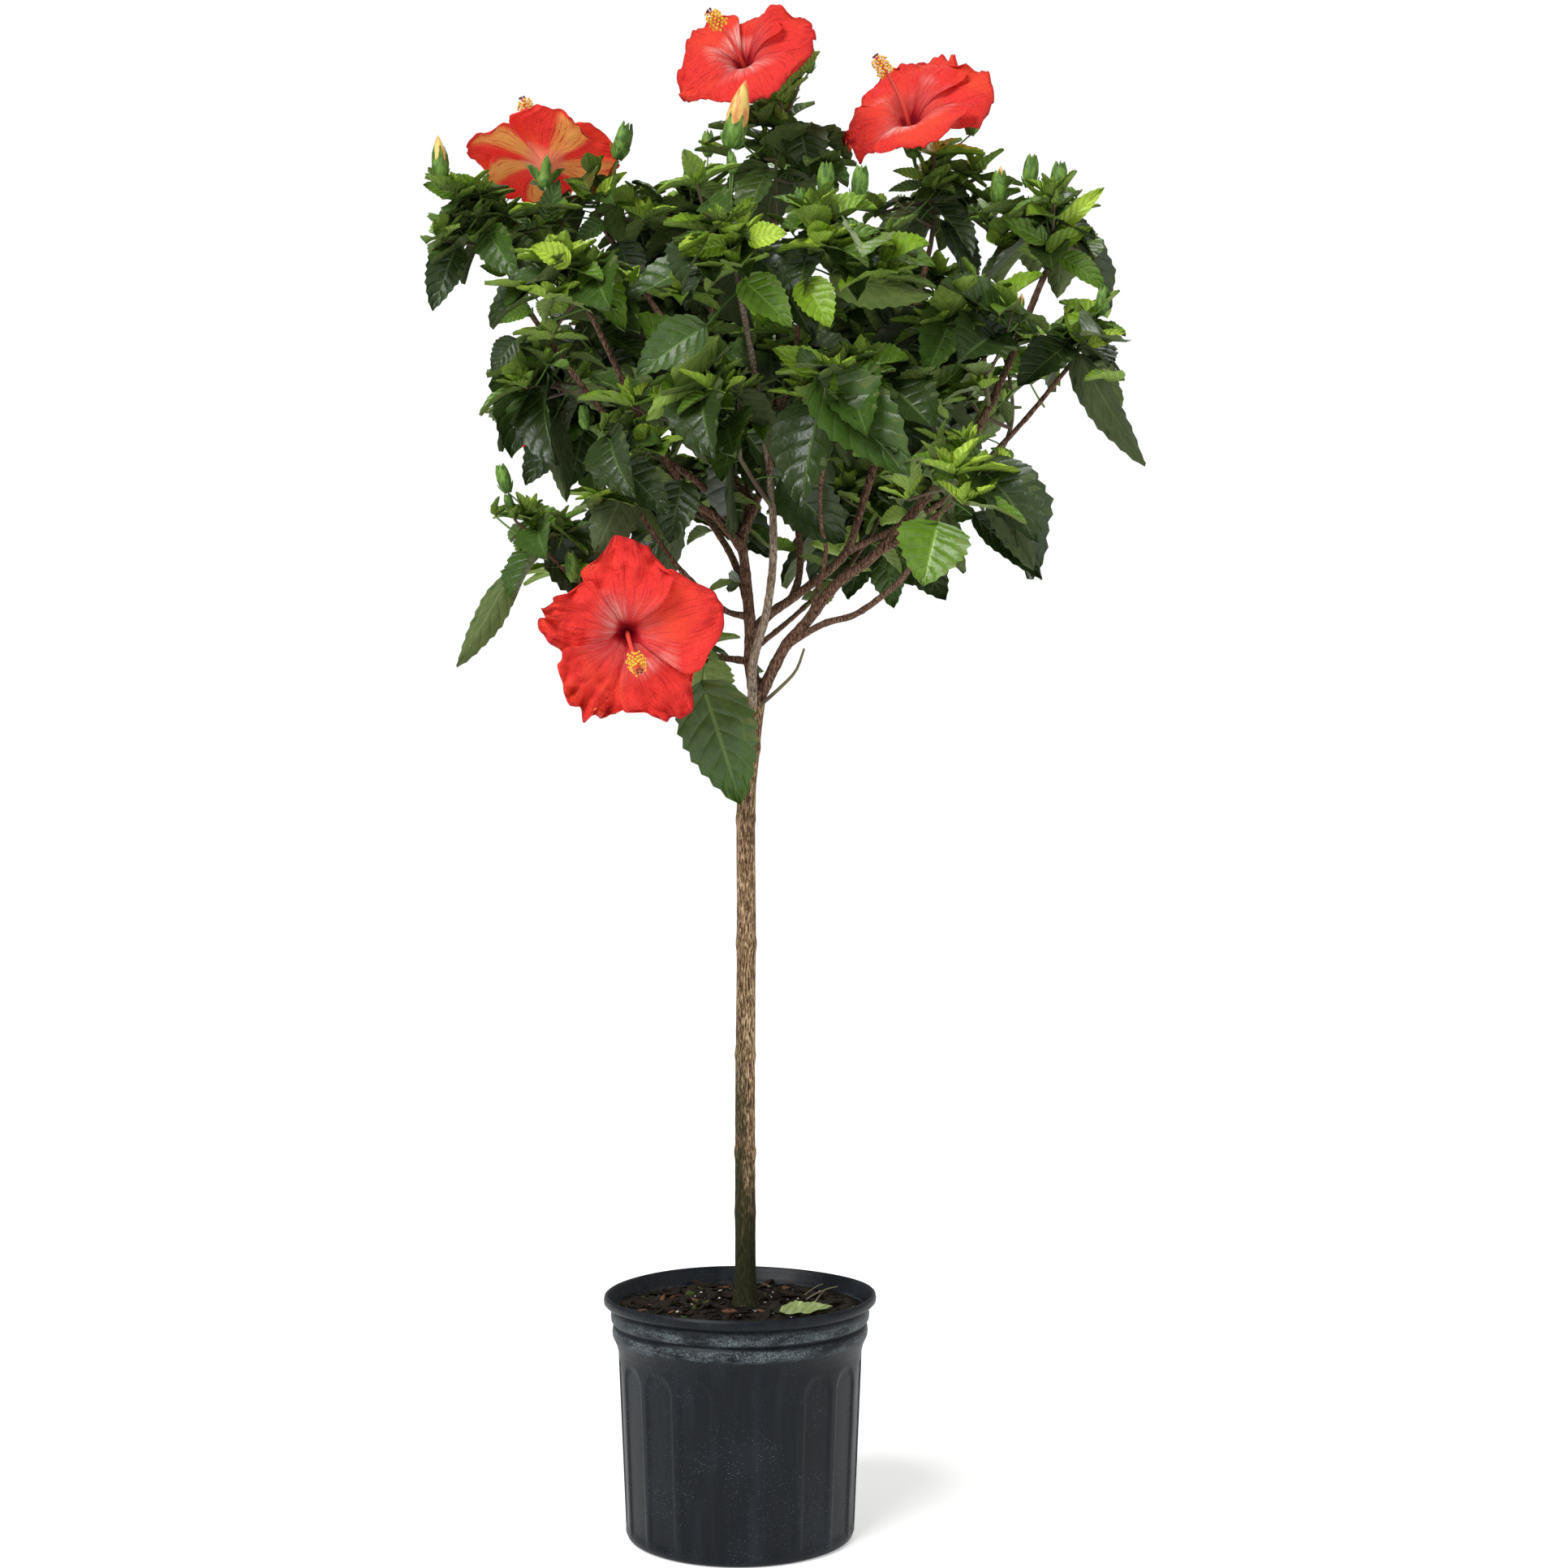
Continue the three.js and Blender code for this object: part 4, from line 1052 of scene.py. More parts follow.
def twigs_of(name, stem, draw):
    """The side twigs that end in the mass's own space."""
    middle, reach, _ = spaces[name]
    count = MASSES[name][4]
    turn = draw() * math.tau
    twigs = []
    for i in range(count):
        start = stem.at(mix(*TWIG_ROOTS, (i + 0.5) / count))
        rise = mix(*TWIG_RISES, draw())
        out = mix(*TWIG_REACHES, draw())
        end = middle + Vector((
            math.cos(turn) * reach.x * out,
            math.sin(turn) * reach.y * out,
            reach.z * rise,
        ))
        twig = bent(start, between(start, end, *TWIG_BEND), end)
        turn += GOLDEN_ANGLE
        if all(in_own_space(name, twig.at(share)) for share in (0.3, 0.6, 1)):
            twigs.append(twig)
    return twigs


# %% [markdown]
# ## The blooms' places
# The blooms are placed before the leaves, because leaves have to leave room for them. Each has the
# middle of its throat, the way it faces, its size and its column's lean. A petal is given by where
# its tip shows from the front, how far the tip rises above the bloom's plane or hangs below it, its
# width and its share of ruffles.

# %% Blooms and their room
PETAL_LENGTH = 80 * MM


def even_petals(across, height, reach):
    """Petals all round a throat, for the blooms behind the crown."""
    petals = []
    for i, rise in enumerate((2, -6, 4, -10, -2)):
        angle = math.radians(10 + 72 * i)
        tip = (across + math.cos(angle) * reach, height + math.sin(angle) * reach)
        petals.append((*tip, rise, 1, 1.2, 0.09))
    return petals


# name: (carrier, share, throat, way it faces, size, column's lean, petals)
# petal: (tip across, tip height, rise, width, ruffles, twist)
BLOOMS = {
    "bloom_low_front": (
        "bough_low_left", 0.55, (-106, -118, 841), (0.06, -0.95, -0.22), 1.0, (0.16, -0.1, -0.36), [
            (-16, 865, 8, 1.08, 0.5, 0.1), (-106, 933, 0, 0.92, 1.5, 0.12), (-186, 857, 0, 0.9, 2.3, 0.1),
            (-149, 767, 0, 0.98, 2.3, 0.1), (-54, 765, 4, 0.88, 1.4, 0.08),
        ],
    ),
    "bloom_top": (
        "top", 0.55, (2, -34, 1381), (-0.2, -0.82, 0.53), 0.88, (-0.32, 0.0, 0.14), [
            (70, 1402, 6, 0.94, 0.8, -0.18), (25, 1423, 8, 0.8, 0.5, 0.09), (-46, 1400, 2, 0.92, 0.7, 0.09),
            (-57, 1349, -6, 0.92, 1.4, 0.09), (24, 1344, 8, 1.12, 0.7, -0.02),
        ],
    ),
    "bloom_right": (
        "right_upper", 0.6, (158, 10, 1327), (-0.15, -0.76, 0.63), 0.98, (-0.42, 0.1, 0.42), [
            (236, 1356, 2, 1.0, 0.7, -0.16), (187, 1385, 8, 0.95, 0.8, 0.05),
            (143, 1372, 6, 0.9, 0.7, 0.09), (98, 1315, -15, 1.0, 1.6, 0.09),
            (183, 1303, 6, 1.2, 0.6, -0.05),
        ],
    ),
    "bloom_left": (
        "upper_left", 0.5, (-184, 66, 1284), (-0.1, 0.6, 0.79), 0.9, (-0.22, -0.62, 0.34), [
            (-113, 1289, 4, 0.9, 1.0, 0.09), (-172, 1334, 6, 1.05, 0.8, 0.09),
            (-256, 1298, 4, 0.9, 0.8, 0.09), (-236, 1256, 4, 0.85, 1.0, 0.09),
            (-168, 1246, 2, 0.86, 1.2, 0.09),
        ],
    ),
    "bloom_back_right": (
        "back_low_right", 0.5, (140, 266, 954), (0.2, 0.95, 0.1), 0.95, (0.0, 0.1, -0.2),
        even_petals(140, 954, 68),
    ),
    "bloom_back_top": (
        "back_top", 0.5, (-44, 268, 1172), (-0.15, 0.88, 0.42), 0.96, (0.0, 0.1, -0.1),
        even_petals(-44, 1172, 66),
    ),
    "bloom_back_left": (
        "back_left", 0.5, (-164, 270, 1060), (-0.5, 0.82, 0.25), 0.92, (-0.1, 0.1, -0.15),
        even_petals(-164, 1060, 60),
    ),
}
# the share of its reach within which a bloom is kept in view from the front
SHOWN_BLOOMS = {"bloom_low_front": 0.98, "bloom_top": 0.66, "bloom_right": 0.62, "bloom_left": 0.5}
DISH_REACH = 0.98
DISH_LEVELS = (-0.3, 0.5)


def bloom_axes(faces):
    """Across the bloom, up it and out of its throat."""
    axis = Vector(faces).normalized()
    across = UP.cross(axis).normalized()
    return across, axis.cross(across), axis


def in_a_bloom(place):
    """Whether a place lies in a bloom's dish, or hides a shown bloom from someone in front."""
    for name, (_, _, throat, faces, size, _, _) in BLOOMS.items():
        middle = seen(throat)
        reach = PETAL_LENGTH * size
        _, _, axis = bloom_axes(faces)
        offset = place - middle
        above = offset.dot(axis)
        out = (offset - axis * above).length
        if out < reach * DISH_REACH and DISH_LEVELS[0] * reach < above < DISH_LEVELS[1] * reach:
            return True
        if name in SHOWN_BLOOMS:
            sight = (middle - EYE).normalized()
            nearer = (place - EYE).dot(sight)
            beside = ((place - EYE) - sight * nearer).length
            if nearer < (middle - EYE).length and beside < reach * SHOWN_BLOOMS[name]:
                return True
    return False


# %% [markdown]
# The crown isn't a solid ball. From the front, the sky shows between its masses and right through it.
# No leaf grows into these openings.

# %% Openings in the crown
# (across, height, half width, half height) as they show against the plane of the trunk
OPENINGS = [
    (300, 1022, 46, 36), (398, 1188, 44, 92), (318, 1316, 56, 30), (137, 1266, 26, 17), (-84, 1281, 34, 16),
    (-318, 1230, 24, 56), (-248, 1150, 22, 24), (-246, 980, 22, 18), (-266, 918, 34, 28),
    (-119, 926, 22, 17), (-28, 912, 16, 20), (84, 1344, 14, 26), (26, 890, 12, 14), (232, 1098, 12, 12),
    (222, 1208, 16, 12), (362, 1240, 24, 30), (376, 1100, 16, 40), (-312, 1290, 20, 14),
    (262, 1296, 12, 18), (318, 1180, 12, 14), (30, 946, 10, 16), (-96, 1318, 26, 20), (112, 1300, 10, 16),
    (268, 1150, 10, 10),
    (-168, 1074, 10, 20), (-146, 1008, 14, 26), (316, 966, 24, 40), (-92, 752, 34, 18),
    (-106, 1230, 11, 10), (-84, 1214, 9, 5), (-150, 1128, 7, 6), (-176, 1058, 8, 12), (-157, 1026, 8, 28),
    (-134, 986, 16, 9), (-190, 998, 9, 11), (-230, 928, 12, 14), (-240, 958, 8, 8), (-178, 962, 12, 6),
    (-132, 930, 14, 10), (-106, 944, 10, 6), (-54, 946, 10, 14), (-78, 960, 5, 9), (-28, 808, 12, 7),
    (6, 1290, 14, 6), (-44, 1311, 15, 6), (-248, 1072, 12, 18), (-196, 860, 12, 30), (-244, 904, 20, 12),
    (52, 1374, 5, 8), (80, 1322, 12, 9), (150, 1240, 12, 4), (256, 1254, 5, 14), (258, 1219, 8, 4),
    (350, 1196, 12, 24), (320, 1263, 8, 10), (292, 1142, 9, 13), (322, 1162, 12, 7), (357, 1147, 11, 14),
    (348, 1107, 11, 6), (274, 1059, 23, 12), (312, 1068, 18, 10), (266, 1016, 15, 16), (244, 958, 6, 14),
    (240, 930, 16, 12), (214, 912, 10, 10), (168, 876, 28, 8), (112, 887, 16, 8), (86, 867, 13, 8),
    (212, 1082, 9, 7), (178, 1058, 6, 5),
]


def in_an_opening(place):
    """Whether a place shows inside an opening to someone who stands where the camera is."""
    spread = (place.y - EYE.y) / -EYE.y
    across = (EYE.x + (place.x - EYE.x) / spread) / MM
    height = (EYE.z + (place.z - EYE.z) / spread) / MM
    for x, z, half_width, half_height in OPENINGS:
        if math.hypot((across - x) / half_width, (height - z) / half_height) < 1:
            return True
    return False


# %% [markdown]
# Some of the wood shows from the front, up into the crown. Few leaves may stand before it. Marks
# along that wood are kept as lines of sight, and a leaf that comes close to one is left out.

# %% Wood that shows
SHOWN_WOOD = {
    "bough_front": (0.0, 0.92), "bough_right": (0.1, 0.92), "bough_left_front": (0.0, 0.92),
    "bough_left": (0.2, 0.9), "bough_upper_left": (0.5, 1.0), "bough_top": (0.75, 1.0),
    "bough_right_lower": (0.2, 0.9), "bough_right_upper": (0.1, 0.5), "leader": (0.0, 1.0),
    "bough_low_right": (0.0, 0.6), "bough_right_inner": (0.0, 0.7),
}
WOOD_MARKS = 15
CLEAR_OF_WOOD = 13 * MM
CLEARLY_NEARER = 2 * MM
wood_sights = []
for name, (low, high) in SHOWN_WOOD.items():
    for i in range(WOOD_MARKS):
        offset = lines[name].at(mix(low, high, i / (WOOD_MARKS - 1))) - EYE
        wood_sights.append((offset.length, offset.normalized()))


def hides_wood(place):
    offset = place - EYE
    for distance, sight in wood_sights:
        nearer = offset.dot(sight)
        if nearer < distance - CLEARLY_NEARER and (offset - sight * nearer).length < CLEAR_OF_WOOD:
            return True
    return False


# %% [markdown]
# ## Leaves
# A hibiscus leaf is a pointed oval with a toothed edge, glossy above and pale and dull below, folded a
# little along its rib. One is modelled as a flat grid with a notch between each two teeth, and its
# copies are then bent each in its own way. Lengths are shares of the leaf's own length here, and
# widths are shares of its half width.

# %% The outline of a leaf
ON_THE_EDGE = 0.999
ON_THE_RIB = 0.01
RIB_DEPTH = 0.012
CUP = 0.05
TOOTH_LEAN = 0.16


def oval(share):
    """The half width of a leaf at a share of its length, 1 at the widest."""
    return np.sin(np.pi * np.clip(share, 0, 1) ** 0.66) ** 0.82


def cut_outline(leaf, rows, tooth):
    """Shapes a square grid into a flat leaf from 0 to 1 along +Y, toothed once in each row."""
    edit(leaf, "EDGE")
    select_edges(leaf, lambda middle: abs(middle.x) > ON_THE_EDGE)
    bpy.ops.mesh.subdivide(number_cuts=1)
    leave_edit()
    places = corners_of(leaf)
    beside = np.abs(places[:, 0])
    share = (places[:, 1] + 1) / 2
    row = share * rows
    notch = (beside > ON_THE_EDGE) & (np.abs(row - np.round(row)) > 0.25)
    point = (beside > ON_THE_EDGE) & ~notch & (share > 0.04) & (share < 0.97)
    width = oval(share) * np.where(notch, 1 - tooth, 1)
    ahead = np.where(point, tooth * TOOTH_LEAN, 0)
    height = CUP * beside ** 1.5 + np.where(beside < ON_THE_RIB, -RIB_DEPTH, 0)
    move_corners(leaf, np.stack([places[:, 0] * width, share + ahead, height], axis=1))


# %% [markdown]
# The underside is a copy of the faces, turned over, with the second finish. Its corners sink a little
# below the blade, most of all along the rib, and only those on the outline stay where they are.

# %% The underside of a leaf
LEAF_THICKNESS = 0.004
RIB_THICKNESS = 0.008
INNER_WIDTH = 0.97
INNER_LENGTH = (0.01, 0.99)


def add_underside(leaf):
    edit(leaf, "FACE")
    bpy.ops.mesh.select_all(action="SELECT")
    bpy.ops.mesh.duplicate()
    bpy.ops.mesh.flip_normals()
    leave_edit()
    leaf.data.materials.append(None)
    leaf.data.materials.append(None)
    for face in leaf.data.polygons:
        face.material_index = int(face.select)
    under = np.zeros(len(leaf.data.vertices), bool)
    leaf.data.vertices.foreach_get("select", under)
    places = corners_of(leaf)
    beside, share = np.abs(places[:, 0]), places[:, 1]
    inner = under & (beside < INNER_WIDTH * oval(share))
    inner &= (share > INNER_LENGTH[0]) & (share < INNER_LENGTH[1])
    sunk = LEAF_THICKNESS + np.where(beside < ON_THE_RIB, RIB_THICKNESS, 0)
    places[:, 2] -= np.where(inner, sunk, 0)
    move_corners(leaf, places)


# %% [markdown]
# Both sides lie on one another in the leaf's chart, which is what its finishes want. When finishes are
# baked to a picture, each side needs its own room in it, so a second chart puts them side by side.

# %% Charts and the two leaves
CHART_EDGE = 0.02


def add_bake_chart(piece, name):
    """Packs the front's faces into the left half of a chart and the back's into the right half."""
    piece.data.uv_layers.new(name="OFBake")
    chart = piece.data.uv_layers[name]
    packed = piece.data.uv_layers["OFBake"]
    for face in piece.data.polygons:
        left = CHART_EDGE + 0.5 * face.material_index
        for loop in face.loop_indices:
            u, v = chart.data[loop].uv
            packed.data[loop].uv = (
                left + (0.5 - 2 * CHART_EDGE) * u,
                CHART_EDGE + (1 - 2 * CHART_EDGE) * v,
            )


def charted_grid(name, columns, rows, chart):
    """A square grid from -1 to 1 with a chart of its own."""
    bpy.ops.mesh.primitive_grid_add(x_subdivisions=columns, y_subdivisions=rows, size=2, calc_uvs=True)
    piece = named(name)
    piece.data.uv_layers[0].name = chart
    return piece


def modelled_leaf(name, columns, rows, tooth):
    leaf = charted_grid(name, columns, rows, "LeafMap")
    cut_outline(leaf, rows, tooth)
    add_underside(leaf)
    add_bake_chart(leaf, "LeafMap")
    print(name, len(leaf.data.polygons), "faces")
    return Pattern(leaf)


broad_leaf = modelled_leaf("broad_leaf", 4, 9, 0.1)
young_leaf = modelled_leaf("young_leaf", 2, 6, 0.07)

# %% [markdown]
# A leaf's finish follows its chart: pale ribs that leave the midrib towards the tip, the blade raised
# between them, and a gloss that breaks up on that relief. The underside is duller and paler.

# %% Leaf finishes
SIDE_RIBS = 6.5


def leaf_finish(name, blade, rib, roughness, depth, gloss):
    finish = Finish(name, blade, roughness, specular=gloss)
    across = finish.chart("LeafMap", 0)
    along = finish.chart("LeafMap", 1)
    side = abs(across * 2 - 1)
    run = (along - side * 0.24) * SIDE_RIBS
    wave = 1 - abs(finish.maths("FRACT", run) * 2 - 1)
    ribs = wave.step(0.88, 0.98) * (1 - side * 0.5)
    midrib = side.step(0.07, 0.025)
    marks = finish.maths("MAXIMUM", ribs * 0.4, midrib)
    patches = finish.noise(finish.chart("LeafMap"), 7, 3, 0.6)
    dim = tuple(0.78 * channel for channel in blade)
    color = finish.blend(patches.step(0.35, 0.65), dim, blade)
    finish.set("Base Color", finish.blend(marks * 0.6, color, rib))
    pucker = finish.noise(finish.chart("LeafMap"), 18, 2, 0.5)
    sunk = finish.maths("MAXIMUM", wave ** 3 * (1 - side * 0.3), (1 - side) ** 12)
    finish.relief(pucker * 0.5 - sunk, depth)
    return finish


# blade and rib above, blade and rib below
LEAF_GREENS = {
    "dark": ((0.022, 0.045, 0.007), (0.09, 0.15, 0.037), (0.07, 0.096, 0.036), (0.14, 0.17, 0.07)),
    "deep": ((0.045, 0.096, 0.012), (0.135, 0.225, 0.05), (0.1, 0.138, 0.042), (0.18, 0.22, 0.08)),
    "mid": ((0.105, 0.21, 0.014), (0.25, 0.39, 0.06), (0.15, 0.215, 0.052), (0.25, 0.31, 0.1)),
    "fresh": ((0.215, 0.37, 0.02), (0.37, 0.54, 0.08), (0.21, 0.32, 0.055), (0.32, 0.44, 0.1)),
    "bright": ((0.42, 0.6, 0.045), (0.57, 0.73, 0.13), (0.29, 0.45, 0.05), (0.43, 0.58, 0.12)),
    "fallen": ((0.21, 0.27, 0.09), (0.36, 0.42, 0.18), (0.34, 0.39, 0.16), (0.44, 0.48, 0.24)),
}
leaf_finishes = {}
for group, (blade, rib, dull, dull_rib) in LEAF_GREENS.items():
    upper = leaf_finish(f"leaf_{group}", blade, rib, 0.36, 1.0 * MM, 0.42)
    under = leaf_finish(f"leaf_{group}_under", dull, dull_rib, 0.65, 0.8 * MM, 0.15)
    leaf_finishes[group] = [upper, under]

# %% [markdown]
# Each leaf has a base, a way that it points, a face and a size. Its rib bends down along its length,
# and its two halves fold up.

# %% Bending the leaves
WAVES = 17
WAVE_HEIGHT = 0.07
LEAST_BEND = 1e-4


def laid_out(origin, *parts):
    """Places in space from an origin and pairs of distances, one for each place, and their way."""
    places = np.array(origin)
    for distances, way in parts:
        places = places + distances[:, None] * np.array(way)
    return places


def bent_leaf(pattern, base, way, face, length, width, droop, fold, ripple):
    """The corners of one leaf. droop and fold are angles, and ripple shifts the waves of its edge."""
    side = way.cross(face).normalized()
    normal = side.cross(way).normalized()
    share = pattern.places[:, 1]
    half = pattern.places[:, 0] * width / 2
    lift = pattern.places[:, 2] * length
    turned = share * droop
    curve = math.copysign(max(abs(droop), LEAST_BEND), droop)
    forward = np.sin(share * curve) / curve * length
    fall = -(1 - np.cos(share * curve)) / curve * length
    edge = np.abs(half) * math.sin(fold) + np.sin(share * WAVES + ripple) * np.abs(half) * WAVE_HEIGHT
    out = half * math.cos(fold)
    rise = edge + lift
    forward = forward + rise * np.sin(turned)
    fall = fall + rise * np.cos(turned)
    return laid_out(base, (forward, way), (out, side), (fall, normal))


# %% [markdown]
# A leaf grows only where it stays near the engineering model's box. It also keeps out of blooms and
# openings, and most broad leaves keep clear of the wood that shows.

# %% Growing one leaf
WOOD_SHOWS = 0.85
FRAME_SLACK = 7 * MM
leaves = {group: {"broad": [], "young": []} for group in LEAF_GREENS}


def inside_frame(places):
    low = np.array(cad_box[0]) - FRAME_SLACK
    high = np.array(cad_box[1]) + FRAME_SLACK
    return bool((places.min(0) > low).all() and (places.max(0) < high).all())


def grow_leaf(group, base, way, face, length, width, droop, fold, ripple, kind="broad", wanted=False):
    """Adds a leaf where it may grow, and says whether it did. A wanted leaf only keeps to the box."""
    pattern = broad_leaf if kind == "broad" else young_leaf
    places = bent_leaf(pattern, base, way, face, length, width, droop, fold, ripple)
    if not inside_frame(places):
        return False
    if not wanted:
        tip = Vector(places[np.argmax(pattern.places[:, 1])])
        samples = [base, base + way * length * 0.35, base + way * length * 0.65, tip]
        if any(in_a_bloom(sample) or in_an_opening(sample) for sample in samples):
            return False
        if kind == "broad" and ripple % 1 < WOOD_SHOWS and any(hides_wood(sample) for sample in samples):
            return False
    leaves[group][kind].append(places)
    return True


# %% [markdown]
# Along a twig the oldest leaves hang, broad and dark, from long stalks. Towards the tip they turn up,
# smaller and brighter, and all of them turn their faces a little to the light.

# %% Leaves along the twigs
LEAF_LENGTH = 102 * MM
FIRST_LEAF = 0.16
TO_THE_LIGHT = Vector((-0.35, -0.75, 0.75)).normalized()
CROWN_MIDDLE = Vector((30 * MM, 0, 1080 * MM))
CROWN_FLATNESS = 0.35
LEAF_GROUPS = [(0.42, "dark"), (0.7, "deep"), (0.92, "mid"), (9, "fresh")]
HIGH_IS_YOUNG = 0.2
HIGH_LEVELS = (1.06, 1.24)
STALK_WIDTH = 1.0 * MM
stalks = []


def outward(place):
    away = place - CROWN_MIDDLE
    away.z *= CROWN_FLATNESS
    return away.normalized()


def around_at(turn, rise=0):
    return Vector((math.cos(turn), math.sin(turn), rise))


def leaf_group(share, draw):
    level = share + mix(-0.16, 0.2, draw())
    return next(name for limit, name in LEAF_GROUPS if level < limit)


def add_stalk(start, end, width, arch=0.15):
    line = bent(start, (start + end) / 2 + UP * (end - start).length * arch, end)
    stalks.append(([line.at(i / 3) for i in range(4)], [width, width * 0.8, width * 0.75, width * 0.8]))


def leaf_on(axis, share, turn, draw, size=1.0):
    """A leaf with its stalk at a share of a shoot's length, on the side that turn gives."""
    base = axis.at(share)
    level = share ** 1.6
    around = around_at(turn)
    away = outward(base)
    level_way = (around + away * 0.55).normalized()
    pitch = mix(-0.8, 0.6, level) + mix(-0.35, 0.35, draw())
    way = (level_way * math.cos(pitch) + UP * math.sin(pitch)).normalized()
    high = float(smoothstep(*HIGH_LEVELS, base.z))
    length = LEAF_LENGTH * mix(1, 0.52, level) * mix(0.72, 1.12, draw()) * mix(1, 0.78, high) * size
    width = length * mix(0.56, 0.74, draw())
    stalk = mix(0.3, 0.12, level) * length
    foot = base + (level_way * 0.8 + UP * mix(0.35, 0.8, level)).normalized() * stalk
    tilt = around.cross(UP) * mix(-0.5, 0.5, draw())
    face = (UP * 0.25 + away * 0.55 + TO_THE_LIGHT * 0.75 + around * 0.15 + tilt).normalized()
    if abs(face.dot(way)) > 0.96:
        face = (UP + around * 0.3).normalized()
    droop = mix(0.8, 0.3, level) * mix(0.4, 1.2, draw())
    fold = mix(0.1, 0.45, draw())
    ripple = draw() * 6
    group = leaf_group(share + HIGH_IS_YOUNG * high, draw)
    if grow_leaf(group, foot, way, face, length, width, droop, fold, ripple):
        add_stalk(base, foot, STALK_WIDTH)


# %% [markdown]
# A shoot ends in a tuft. Its outer leaves spread and are the larger and darker ones, and its inner
# ones stand upright, half folded.

# %% Tufts of young leaves
BROAD_FROM = 38 * MM


def tuft(base, heading, count, length, draw, groups=("mid", "fresh", "bright")):
    """Young leaves round a shoot's tip, the inner ones upright and the outer ones spreading."""
    turn = draw() * math.tau
    for i in range(count):
        level = i / max(1, count - 1)
        pitch = mix(-0.1, 1.45, level ** 0.75) + mix(-0.3, 0.2, draw())
        around = around_at(turn)
        way = (around * math.cos(pitch) + (UP * 0.6 + heading * 0.4) * math.sin(pitch)).normalized()
        size = length * mix(1, 0.42, level) * mix(0.8, 1.15, draw())
        face = (UP * 0.8 + around * mix(0.7, -0.8, level) + TO_THE_LIGHT * 0.85).normalized()
        group = groups[min(2, int(level * 2.6 + draw() * 1.1))]
        fold = mix(0.2, 0.3 + 0.5 * level, draw())
        start = base + around * 1.2 * MM
        droop = mix(0.7, 0.05, level) * mix(0.5, 1.3, draw())
        kind = "broad" if size > BROAD_FROM else "young"
        grow_leaf(group, start, way, face, size, size * mix(0.46, 0.66, draw()), droop, fold, turn, kind)
        turn += GOLDEN_ANGLE


# %% [markdown]
# Now each mass grows: its stem and side twigs, leaves along all of them, a tuft on each tip, and two
# short shoots with small tufts on the way.

# %% Growing the masses
STEM_RADIUS = 2.6 * MM
TWIG_RADIUS = 2.0 * MM
TWIG_TIP_RADIUS = 1.3 * MM
LEAF_STEP = 7.6 * MM
LAST_LEAF = 0.97
TIP_TUFT = (12, 50 * MM)
SIDE_TUFT = (6, 36 * MM)
SIDE_SHOOTS = (0.42, 0.72)
SIDE_SHOOT_LENGTHS = (18, 34)
stem_strands = []
twig_strands = []


def strand(line, foot, tip, rows, carrier):
    """A thin round shoot down to the end of its line, or to where it would cross open sky."""
    reach = 1.0
    while reach > 0.25 and in_an_opening(line.at(reach)):
        reach -= 0.1
    points = [line.at(reach * i / rows) for i in range(rows + 1)]
    carrier.append((points, [mix(foot, tip, i / rows) for i in range(rows + 1)]))


def side_shoot(name, start, turn, draw):
    side = around_at(turn, mix(0.5, 1.3, draw())).normalized()
    end = start + side * mix(*SIDE_SHOOT_LENGTHS, draw()) * MM
    if not in_own_space(name, end, 1.1) or in_a_bloom(end):
        return
    shoot = bent(start, (start + end) / 2 - UP * 2 * MM, end)
    if not in_an_opening(end):
        strand(shoot, 1.1 * MM, 0.8 * MM, 4, twig_strands)
    tuft(end, shoot.heading(1), *SIDE_TUFT, draw, ("deep", "mid", "fresh"))


for name in MASSES:
    draw = seeded(MASSES[name][5])
    stem = stem_of(name)
    lines[name] = stem
    twigs = twigs_of(name, stem, draw)
    strand(stem, STEM_RADIUS, TWIG_TIP_RADIUS, 12, stem_strands)
    for twig in twigs:
        strand(twig, TWIG_RADIUS, TWIG_TIP_RADIUS, 9, stem_strands)
    for axis in (stem, *twigs):
        turn = draw() * math.tau
        count = max(4, round(axis.length / LEAF_STEP))
        for i in range(count):
            leaf_on(axis, mix(FIRST_LEAF, LAST_LEAF, i / (count - 1)), turn, draw)
            turn += GOLDEN_ANGLE
        tuft(axis.at(1), axis.heading(1), *TIP_TUFT, draw)
        for share in SIDE_SHOOTS:
            side_shoot(name, axis.at(share), turn, draw)
            turn += GOLDEN_ANGLE
print("stems and twigs:", len(stem_strands), "short shoots:", len(twig_strands))

# %% [markdown]
# The blooms behind the crown stand on leaves of their own, which also close the crown in front of them.

# %% Leaves under the back blooms
UNDER_A_BLOOM = 22
SEEDS_FOR_BLOOMS = 700
for index, (bloom, (carrier, share, throat, faces, size, _, _)) in enumerate(BLOOMS.items()):
    if bloom in SHOWN_BLOOMS:
        continue
    draw = seeded(SEEDS_FOR_BLOOMS + index)
    across, up, axis = bloom_axes(faces)
    reach = PETAL_LENGTH * size
    middle = seen(throat) - axis * reach * 0.66
    for i in range(UNDER_A_BLOOM):
        turn = i * GOLDEN_ANGLE
        around = across * math.cos(turn) + up * math.sin(turn)
        out = math.sqrt((i + 0.5) / UNDER_A_BLOOM) * reach * 1.02
        base = middle + around * (out - 32 * MM) - axis * mix(0, 24, draw()) * MM
        way = (around - axis * mix(0, 0.5, draw()) - UP * 0.15).normalized()
        face = (TO_THE_LIGHT - axis * 0.6).normalized()
        length = mix(62, 82, draw()) * MM
        shape = (length, length * mix(0.6, 0.74, draw()), mix(0.2, 0.6, draw()), 0.2, turn)
        grow_leaf(("dark", "deep")[i % 2], base, way, face, *shape, wanted=True)

# %% [markdown]
# The light draws a strong shoot out of most masses. It carries middling leaves on its way up and ends
# in a wide bright tuft, and these tufts are what one sees first of the crown.

